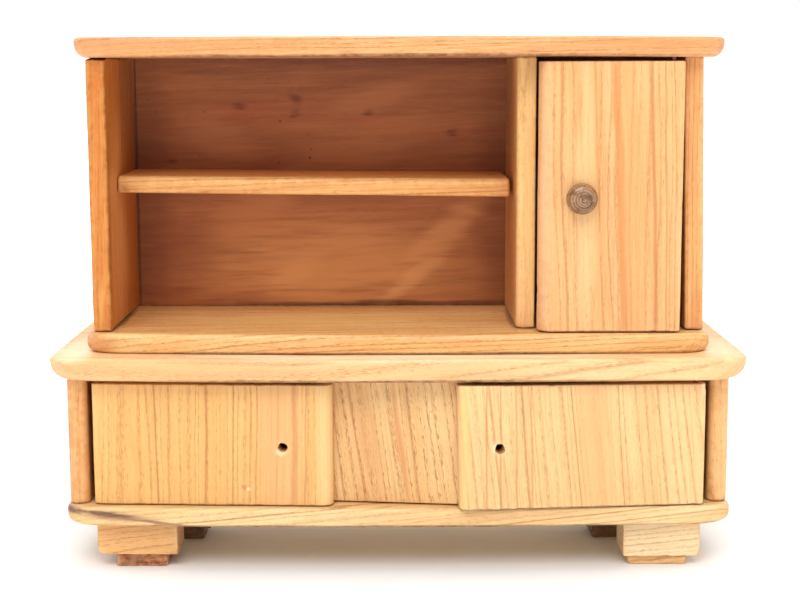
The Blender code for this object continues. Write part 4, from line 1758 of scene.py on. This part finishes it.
@dataclass(frozen=True)
class Foot:
    """A foot block and the worn pad under it.

    Attributes:
        corner: which foot, as in its CAD nodes' names.
        seed: shifts its unevenness.
        block: colours of the block, light and dark.
        pad: colours of the pad, light and dark.
        stains: stains of the pad.
        tone: a factor that every colour is multiplied by; on the rear feet it is painted
            shade.
        cove: how far the lower outer edge of the block is cut in.
    """

    corner: str
    seed: int
    block: tuple[Colour, Colour]
    pad: tuple[Colour, Colour]
    stains: tuple[Stain, ...] = ()
    tone: Colour = (1.0, 1.0, 1.0)
    cove: float = 1.1 * MM

    def build(self, bench: Bench) -> None:
        """Make the block and the pad.

        Args:
            bench: the workshop.
        """
        self._block(bench)
        self._pad(bench)

    def _block(self, bench: Bench) -> None:
        """The block, with its lower outer edge cut in.

        Args:
            bench: the workshop.
        """
        name = self.corner + "_foot_block"
        low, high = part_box(name)
        outline = arc_outline((low.x, low.y), (high.x, high.y), (0.45 * MM,) * 4, 0.8 * MM)
        left = low.x < 0
        small, tall = 0.3 * MM, 3.2 * MM
        sides = (self.cove, small) if left else (small, self.cove)
        heights = (tall, small) if left else (small, tall)
        start = Round((*sides, small, small), (*heights, small, small))
        slab = Slab(outline, low.z - 0.06 * MM, high.z + 0.1 * MM, Along.Z, start,
                    spacing=0.8 * MM, unevenness=0.12 * MM, seed=self.seed,
                    dents=nicks(low, high, self.seed, 10))
        look = replace(HONEY, name=name + "_wood", light=self.block[0], dark=self.block[1],
                       blush=self.block[1], pith=(-9.0, 24.0), tilt=(4.0, 6.0), ring=1.5,
                       seed=float(self.seed), wear=0.7, rings=0.35, tone=self.tone)
        bench.board(slab, name, look)

    def _pad(self, bench: Bench) -> None:
        """The pad, knocked uneven all round above a flat underside.

        Args:
            bench: the workshop.
        """
        name = self.corner + "_foot_pad"
        low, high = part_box(name)
        middle = (low + high) / 2

        def knocked(point: Vector) -> Vector:
            """The sides are knocked in and out.

            Args:
                point: a point of the pad.

            Returns:
                Where it comes to lie.
            """
            wave = noise.noise(point / MM * 0.45 + Vector((self.seed, 0.0, 0.0)))
            fine = noise.noise(point / MM * 1.3 + Vector((self.seed, 5.0, 0.0)))
            out = Vector((point.x - middle.x, point.y - middle.y, 0.0)).normalized()
            return point + out * (wave * 0.3 + fine * 0.12 - 0.12) * MM

        outline = arc_outline((low.x, low.y), (high.x, high.y),
                              (0.8 * MM, 0.6 * MM, 0.6 * MM, 0.6 * MM), 0.6 * MM)
        slab = Slab(outline, low.z, high.z + 0.1 * MM, Along.Z, Round.even(0.45 * MM),
                    SANDED, spacing=0.5 * MM, unevenness=0.0, seed=self.seed,
                    bends=(knocked,))
        late = tuple(part * 0.4 for part in self.pad[1])
        look = replace(HONEY, name=name + "_wood", light=self.pad[0], dark=self.pad[1],
                       blush=self.pad[1], late=late, pale=(0.72, 0.40, 0.18),
                       pith=(0.0, 12.0), tilt=(2.0, 4.0), ring=1.2, rings=0.7, wear=0.75,
                       seed=self.seed + 0.5, stains=self.stains, tone=self.tone)
        bench.board(slab, name, look, "foot_pad")


def feet() -> list[Foot]:
    """The four feet.

    Returns:
        The feet.
    """
    # Painted shade: the rear feet get dark colours and a dim tone, as they stand in the shade
    # under the cabinet.
    shaded = ((0.42, 0.24, 0.12), (0.34, 0.17, 0.08))
    dim = (0.45, 0.42, 0.42)
    knot = Stain((-70.0, -22, 1.8), (3.6, 9, 0.8), (0.05, 0.02, 0.015), 0.95, ragged=0.4)
    return [
        Foot("front_left", 20, ((0.82, 0.48, 0.195), (0.72, 0.35, 0.12)),
             ((0.42, 0.10, 0.03), (0.26, 0.06, 0.02)), (knot,)),
        Foot("front_right", 21, ((0.95, 0.79, 0.52), (0.90, 0.68, 0.38)),
             ((0.85, 0.54, 0.22), (0.72, 0.36, 0.12))),
        Foot("rear_left", 22, shaded, shaded, tone=dim),
        Foot("rear_right", 23, shaded, shaded, tone=dim),
    ]


@dataclass(frozen=True)
class Door:
    """A door on its own pins, in a frame whose origin lies on the hinge axis.

    Attributes:
        node: the door's CAD node and body.
        closed_turn: how far it stands round its hinge when at rest, in degrees.
        free_round: radius of the front edge on the side away from the hinge.
        look: its wood.
        bore: knob hole, as (distance from the hinge axis, height).
        seed: shifts the unevenness.
        slant: how much narrower it is at its foot than at its head.
        dents: knocks and chips.
        torn: how far the rim of its knob hole is torn.
        rise: how much higher its head is at the free end than at the hinge.
        bore_radius: radius of the knob hole.
        pin_bore: radius of the pin holes.
        pin_depth: depth of the pin holes.
    """

    node: str
    closed_turn: float
    free_round: float
    look: Wood
    bore: Point
    seed: int
    slant: float = 0.0
    dents: tuple[Dent, ...] = ()
    torn: float = 0.0
    rise: float = 0.0
    bore_radius: float = 1.2 * MM
    pin_bore: float = 0.75 * MM
    pin_depth: float = 4.0 * MM

    def place(self, bench: Bench) -> Matrix:
        """The door's frame, from its joint.

        Args:
            bench: the workshop.

        Returns:
            The frame's matrix.
        """
        axis = bench.joints[self.node + "_hinge"]["pos_m"]
        turn = Matrix.Rotation(math.radians(self.closed_turn), 4, "Z")
        return Matrix.Translation((axis[0], axis[1], 0)) @ turn

    def build(self, bench: Bench) -> None:
        """Make the door.

        Args:
            bench: the workshop.
        """
        place = self.place(bench)
        low, high = bench.local_box(self.node, place)
        hinge_round, rear_free, rear_hinge = 1.0 * MM, 0.5 * MM, 1.5 * MM
        if high.x > -low.x:
            free, radii = high.x, (hinge_round, self.free_round, rear_free, rear_hinge)
        else:
            free, radii = low.x, (self.free_round, hinge_round, rear_hinge, rear_free)

        def narrowed(point: Vector) -> Vector:
            """The free end narrows downwards, and the head climbs towards it.

            Args:
                point: a point of the door.

            Returns:
                Where it comes to lie.
            """
            sunk = 1 - (point.z - low.z) / (high.z - low.z)
            out = max(0.0, point.x / free - 0.6) / 0.4
            up = self.rise * (1 - sunk) * max(0.0, point.x / free)
            return point + Vector((-math.copysign(self.slant * sunk * out, free), 0.0, up))

        outline = arc_outline((low.x, low.y), (high.x, high.y), radii, 0.8 * MM, 8)
        slab = Slab(outline, low.z, high.z, Along.Z, SANDED, Round.even(0.35 * MM),
                    spacing=0.8 * MM, unevenness=0.07 * MM, seed=self.seed,
                    bends=(narrowed,),
                    dents=(*nicks(low, high, self.seed, 10), *self.dents))
        across, height = self.bore
        bores = [(Vector((across, -6 * MM, height)), Vector((across, 6 * MM, height)),
                  self.bore_radius)]
        for end, way in ((low.z, 1), (high.z, -1)):
            bores.append((Vector((0, 0, end - way * MM)),
                          Vector((0, 0, end + way * self.pin_depth)), self.pin_bore))
        # Places round the knob hole that get painted shade.
        holes = [(Vector((across, low.y + (high.y - low.y) * share, height)), 1.4 * MM)
                 for share in (0.3, 0.5, 0.7)]
        # Painted shade along the foot of the door, over the gap below it.
        joint = Stain((free / 2 / MM, 0.0, low.z / MM), (60, 9, 0.5), PAINTED_CREVICE_SHADE, 0.8, soft=0.6,
                      ragged=0.15)
        look = replace(self.look, stains=(*self.look.stains, joint))
        piece = bench.finish(slab.mesh(self.node), self.node + "_finished", look,
                             self.node, "varnished_door", [self.node], place, bores, holes)
        self._tear(piece.data, Vector((across, low.y, height)))

    def _tear(self, mesh: bpy.types.Mesh, centre: Vector) -> None:
        """Tear the front rim of the knob hole outwards and inwards a little.

        Args:
            mesh: the door's mesh.
            centre: the hole's middle on the front face.
        """
        for corner in mesh.vertices:
            out = Vector((corner.co.x - centre.x, 0.0, corner.co.z - centre.z))
            if out.length < self.bore_radius * 1.08 and corner.co.y < centre.y + 0.5 * MM:
                angle = math.atan2(out.z, out.x)
                wave = noise.noise(Vector((math.cos(angle) * 1.7, math.sin(angle) * 1.7,
                                           self.seed)))
                pull = self.torn * max(0.0, 0.35 + wave)
                corner.co += out.normalized() * pull + Vector((0.0, pull * 0.7, 0.0))


def doors() -> list[Door]:
    """The three doors.

    Returns:
        The doors.
    """
    front = on_face(-2.4, 6)
    dark_line = (0.50, 0.21, 0.07)
    upper = replace(
        UPRIGHT, name="upper_door_wood", tone=(0.95, 0.90, 0.88), light=(0.81, 0.49, 0.22),
        dark=(0.74, 0.39, 0.145), blush=(0.79, 0.43, 0.19), pith=(44.0, 34.0),
        tilt=(0.6, 1.8), ring=1.5, seed=15.0,
        stains=(front(-13.2, 98, 1.7, 90, (0.60, 0.25, 0.07), 0.8, 2.8, ragged=0.5),
                front(-10.0, 98, 3.4, 90, (0.72, 0.36, 0.12), 0.55, 2.8, ragged=0.6),
                front(-4.6, 98, 0.7, 90, dark_line, 0.7, 2.0, ragged=0.25),
                front(-1.6, 98, 0.4, 90, dark_line, 0.6, 1.4, ragged=0.25),
                front(-18.6, 98, 0.35, 90, (0.56, 0.26, 0.09), 0.5, 2.6, ragged=0.25),
                front(-33, 90, 3.0, 60, (0.80, 0.44, 0.24), 0.5, ragged=0.6),
                front(-22, 104, 3.2, 60, (0.86, 0.58, 0.28), 0.5, 1.0)))
    front, shallow = on_face(-2.2, 5), on_face(-2.2, 3)
    left = replace(
        UPRIGHT, name="lower_left_door_wood", tone=(0.98, 0.97, 0.90),
        light=(0.83, 0.485, 0.19), dark=(0.78, 0.42, 0.14), blush=(0.79, 0.43, 0.17),
        pith=(20.0, 48.0), tilt=(1.0, 0.4), ring=1.3, fibres=0.6, rings=0.6, seed=16.0,
        stains=(front(47, 33, 8.5, 60, (0.78, 0.42, 0.19), 0.6, -1.0),
                front(50.5, 33, 1.0, 60, (0.60, 0.27, 0.11), 0.7, -1.0, ragged=0.4),
                front(53.3, 33, 0.35, 60, (0.56, 0.24, 0.09), 0.6, -1.0, ragged=0.3),
                front(59, 33, 3.4, 60, (0.86, 0.59, 0.28), 0.7, ragged=0.4),
                shallow(46.8, 32.1, 1.7, 1.4, TORN, 0.8, ragged=0.3),
                shallow(37.2, 22.6, 1.0, 1.1, (0.62, 0.22, 0.10), 0.8, 30.0, ragged=0.3),
                shallow(38.4, 22.2, 0.8, 0.6, TORN, 0.9, ragged=0.3)))
    ring_lines = [front(x, 33, half, 60, (0.56, 0.25, 0.09), strength, turn, ragged=0.25)
                  for x, half, strength, turn in (
                      (-55, 0.4, 0.7, 0.5), (-51.3, 0.35, 0.7, 0.8), (-47.2, 0.4, 0.6, 1.0))]
    right = replace(
        UPRIGHT, name="lower_right_door_wood", light=(0.84, 0.57, 0.27),
        dark=(0.79, 0.48, 0.20), blush=(0.79, 0.475, 0.21), pith=(-34.0, 40.0),
        tilt=(1.2, 5.0), ring=1.7, rings=0.6, seed=17.0,
        stains=(front(-61, 33, 2.2, 60, (0.84, 0.53, 0.19), 0.7, ragged=0.3), *ring_lines,
                front(-43.2, 33, 0.45, 60, (0.60, 0.28, 0.11), 0.7, 1.4, ragged=0.25),
                front(-26, 33, 8, 60, (0.76, 0.42, 0.17), 0.6, 4.0),
                shallow(-52.7, 34.0, 1.1, 1.6, TORN, 0.9, ragged=0.3),
                Stain((1.7, -2.0, 49.6), (1.0, 3, 4.0), TORN, 0.9, ragged=0.3)))
    chip = Dent(Vector((2.2, -2.2, 49.0)) * MM, 1.6 * MM, Vector((-0.35, 0.3, -0.1)) * MM)
    nick = Dent(Vector((38.3, -2.25, 22.3)) * MM, 1.0 * MM, Vector((0.0, 0.25, 0.0)) * MM)
    return [
        Door("upper_door", 0.0, 3.6 * MM, upper, (-23.2 * MM, 97.4 * MM), 15),
        Door("lower_left_door", -2.9, 2.6 * MM, left, (47.5 * MM, 33.3 * MM), 16,
             dents=(nick,), torn=0.2 * MM),
        Door("lower_right_door", 4.9, 2.2 * MM, right, (-51.5 * MM, 33.8 * MM), 17,
             slant=0.7 * MM, dents=(chip,), torn=0.3 * MM, rise=0.7 * MM),
    ]


@dataclass
class Knob:
    """The upper door's turned knob, with rings and a bead at its tip."""

    node: str = "upper_door_knob"
    body: str = "upper_door"

    def build(self, bench: Bench) -> None:
        """Make the knob.

        Args:
            bench: the workshop.
        """
        low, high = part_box(self.node)
        radius = (high.x - low.x) / 2
        centre = Vector(((low.x + high.x) / 2, high.y, (low.z + high.z) / 2))
        tip = high.y - low.y
        door_low, door_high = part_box(self.body)
        face = door_high.y - door_low.y
        profile = rolled(self._profile(tip, radius, face))
        mesh = turned(profile, 72, self.node)
        place = Matrix.Translation(centre) @ Euler((math.pi / 2, 0, 0)).to_matrix().to_4x4()
        look = Wood("knob_wood", Grain.ALONG_X, light=(0.18, 0.075, 0.028),
                    dark=(0.09, 0.033, 0.014), blush=(0.13, 0.045, 0.018),
                    late=(0.045, 0.016, 0.008), pale=(0.62, 0.38, 0.20), pith=(2.0, 6.0),
                    tilt=(0.0, 3.0), ring=0.9, rings=0.2, fibres=0.5, pores=0.6, wear=0.85,
                    shine=0.27, coat=0.45, ends=0.1, seed=30.0,
                    # Painted shade round the knob's outer rim, next to the door.
                    stains=(Stain((0, 0, face / MM + 0.7), (6, 6, 1.9),
                                  (0.04, 0.014, 0.007), 0.9, soft=0.7, ragged=0.2),))
        bench.finish(mesh, "knob_turned", look, self.body, "turned_knob", [self.node],
                     place)

    @staticmethod
    def _profile(tip: float, radius: float, face: float) -> list[tuple[float, float, float]]:
        """Corners of the turning, with the size of the round on each.

        Args:
            tip: height of the bead's tip above the end of the peg.
            radius: the knob's radius.
            face: height of the door's face above the end of the peg.

        Returns:
            (radius, height, rounding) for each corner.
        """
        body = tip - face
        small = 0.12 * MM
        corners = [(0.0, tip, 0.0)]
        corners += [(out * MM, tip - down * MM, small) for out, down in (
            (0.42, 0.02), (0.5, 0.35), (0.75, 0.5), (1.05, 0.4), (1.25, 0.75))]
        rings = 5
        for ring in range(rings):
            turn = math.pi / 2 * (ring + 0.6) / rings
            out = 1.3 * MM + (radius - 1.45 * MM) * math.sin(turn)
            rise = face + body * 0.24 + body * 0.62 * math.cos(turn)
            corners += [(out, rise + 0.16 * MM, 0.08 * MM),
                        (out + 0.12 * MM, rise - 0.42 * MM, 0.08 * MM)]
        corners += [(radius, face + body * 0.2, 0.3 * MM),
                    (radius - 0.35 * MM, face + 0.25 * MM, 0.3 * MM),
                    (2.6 * MM, face, 0.2 * MM), (1.1 * MM, face, 0.05 * MM),
                    (1.1 * MM, 0.2 * MM, 0.15 * MM), (0.9 * MM, 0.0, 0.05 * MM),
                    (0.0, 0.0, 0.0)]
        return corners


@dataclass
class Ironwork:
    """Brads in the backs and the pins of the doors."""

    def build(self, bench: Bench) -> None:
        """Make every brad and pin.

        Args:
            bench: the workshop.
        """
        for name in sorted(bench.frame["nodes"]):
            if "_brad_" in name:
                self._brad(bench, name)
            elif name.endswith("_pin"):
                self._pin(bench, name)

    def _brad(self, bench: Bench, name: str) -> None:
        """A brad with a low domed head, a shank and a point.

        Args:
            bench: the workshop.
            name: its CAD node.
        """
        low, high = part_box(name)
        length = high.y - low.y
        head = (high.x - low.x) / 2
        shank = head / 2
        corners = ((0.0, length, 0.0), (head * 0.6, length - 0.02 * MM, 0.15 * MM),
                   (head * 0.94, length - 0.12 * MM, 0.08 * MM),
                   (head, length - 0.24 * MM, 0.03 * MM),
                   (shank, length - 0.28 * MM, 0.02 * MM),
                   (shank, 0.9 * MM, 0.1 * MM), (0.0, 0.0, 0.0))
        centre = Vector(((low.x + high.x) / 2, low.y, (low.z + high.z) / 2))
        turn = Euler((-math.pi / 2, 0, 0)).to_matrix().to_4x4()
        self._wire(bench, name, rolled(corners, 3), Matrix.Translation(centre) @ turn)

    def _pin(self, bench: Bench, name: str) -> None:
        """A headless pin with both ends filed round.

        Args:
            bench: the workshop.
            name: its CAD node.
        """
        low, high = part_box(name)
        length, radius = high.z - low.z, (high.x - low.x) / 2 * 0.98
        corners = ((0.0, length, 0.0), (radius, length, 0.25 * MM), (radius, 0.0, 0.25 * MM),
                   (0.0, 0.0, 0.0))
        centre = Vector(((low.x + high.x) / 2, (low.y + high.y) / 2, low.z))
        self._wire(bench, name, rolled(corners, 4), Matrix.Translation(centre))

    @staticmethod
    def _wire(bench: Bench, name: str, profile: Sequence[Point], place: Matrix) -> None:
        """Turn a profile and finish it as a piece of wire in the cabinet."""
        bench.finish(turned(profile, 24, name), name + "_drawn", Steel(name + "_steel"),
                     CABINET, "wire", [name], place)


# ======================================================================================
# studio
# ======================================================================================
@dataclass
class Studio:
    """A pale floor, soft light and the camera.

    Attributes:
        eye: the camera's place.
        yaw: its turn to the right, in radians.
        pitch: how far it looks down, in radians.
        roll: its roll, in radians.
        lens: focal length, in mm on a 36 mm wide sensor.
    """

    eye: tuple[float, float, float] = (-0.82 * MM, -415.44 * MM, 130.15 * MM)
    yaw: float = 0.00348
    pitch: float = 0.14810
    roll: float = -0.00301
    lens: float = 69.56

    def build(self) -> None:
        """Make floor, lights, world and camera."""
        bpy.context.scene.view_settings.view_transform = "Standard"
        self._camera()
        self._floor()
        self._world()
        self._softbox("key", (-0.12, -0.85, 0.95), (0.8, 0.6), 8.0)
        self._softbox("overhead", (0.1, 0.05, 1.1), (0.9, 0.9), 4.6)

    def _camera(self) -> None:
        """Place the camera."""
        forward = Vector((math.sin(self.yaw) * math.cos(self.pitch),
                          math.cos(self.yaw) * math.cos(self.pitch), -math.sin(self.pitch)))
        level = Vector((math.cos(self.yaw), -math.sin(self.yaw), 0.0))
        above = level.cross(forward)
        right = level * math.cos(self.roll) + above * math.sin(self.roll)
        up = above * math.cos(self.roll) - level * math.sin(self.roll)
        lens = bpy.data.cameras.new("camera")
        lens.lens = self.lens
        lens.sensor_width = 36.0
        lens.clip_start = 0.01
        lens.clip_end = 20.0
        camera = bpy.data.objects.new("camera", lens)
        bpy.context.scene.collection.objects.link(camera)
        turn = Matrix((right, up, -forward)).transposed().to_4x4()
        camera.matrix_world = Matrix.Translation(self.eye) @ turn
        bpy.context.scene.camera = camera

    def _floor(self) -> None:
        """White paper on a table that is lit from beneath, away from the cabinet."""
        bpy.ops.mesh.primitive_plane_add(size=6.0, location=(0, 0, 0))
        floor = bpy.context.object
        floor.name = "floor"
        graph = Graph("paper")
        spot = graph.node("ShaderNodeTexCoord").outputs["Object"]
        mottle = graph.noise(spot, 30.0, 2.0)
        graph.feed(graph.shader.inputs["Base Color"],
                   graph.mix(mottle, (0.87, 0.87, 0.87), (0.9, 0.9, 0.9)))
        graph.set(Roughness=0.9)
        away = graph.band(graph.vector("LENGTH", spot), 0.10, 0.4)
        graph.shader.inputs["Emission Color"].default_value = (1.0, 1.0, 1.0, 1.0)
        graph.feed(graph.shader.inputs["Emission Strength"], graph.times(away, 0.6))
        floor.data.materials.append(graph.material)

    def _world(self) -> None:
        """A white surround that is brightest behind and above, dimmer at the sides."""
        world = bpy.data.worlds.new("surround")
        world.use_nodes = True
        tree = world.node_tree
        spot = tree.nodes.new("ShaderNodeTexCoord")
        apart = tree.nodes.new("ShaderNodeSeparateXYZ")
        tree.links.new(spot.outputs["Generated"], apart.inputs[0])
        strength = None
        behind, above = (1, -0.3, 0.4, 0.62, 1.12), (2, 0.3, 0.9, 0.0, 0.4)
        for axis, low, high, dim, full in (behind, above):
            ramp = tree.nodes.new("ShaderNodeMapRange")
            ramp.interpolation_type = "SMOOTHSTEP"
            tree.links.new(apart.outputs[axis], ramp.inputs["Value"])
            for name, value in (("From Min", low), ("From Max", high), ("To Min", dim),
                                ("To Max", full)):
                ramp.inputs[name].default_value = value
            if strength is None:
                strength = ramp.outputs["Result"]
                continue
            total = tree.nodes.new("ShaderNodeMath")
            tree.links.new(strength, total.inputs[0])
            tree.links.new(ramp.outputs["Result"], total.inputs[1])
            strength = total.outputs[0]
        background = tree.nodes["Background"]
        background.inputs["Color"].default_value = (1, 1, 1, 1)
        tree.links.new(strength, background.inputs["Strength"])
        bpy.context.scene.world = world

    @staticmethod
    def _softbox(name: str, spot: tuple[float, float, float], size: Point,
                 power: float) -> None:
        """A large soft light that faces the cabinet.

        Args:
            name: its name.
            spot: where it hangs.
            size: its width and height.
            power: its power in watts.
        """
        light = bpy.data.lights.new(name, "AREA")
        light.shape = "RECTANGLE"
        light.size, light.size_y = size
        light.energy = power
        lamp = bpy.data.objects.new(name, light)
        bpy.context.scene.collection.objects.link(lamp)
        lamp.location = spot
        aim = Vector((0, 0, 0.07)) - Vector(spot)
        lamp.rotation_euler = aim.to_track_quat("-Z", "Y").to_euler()


def main() -> None:
    """Build the cabinet's looks in order."""
    logging.basicConfig(level=logging.INFO, format="%(message)s")
    noise.seed_set(UNEVENNESS_SEED)
    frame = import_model()
    Studio().build()
    bench = Bench(frame)
    for piece in (*long_boards(), *uprights(), Interior(), *feet(), *doors(), Knob(),
                  Ironwork()):
        piece.build(bench)


if __name__ == "__main__":
    main()
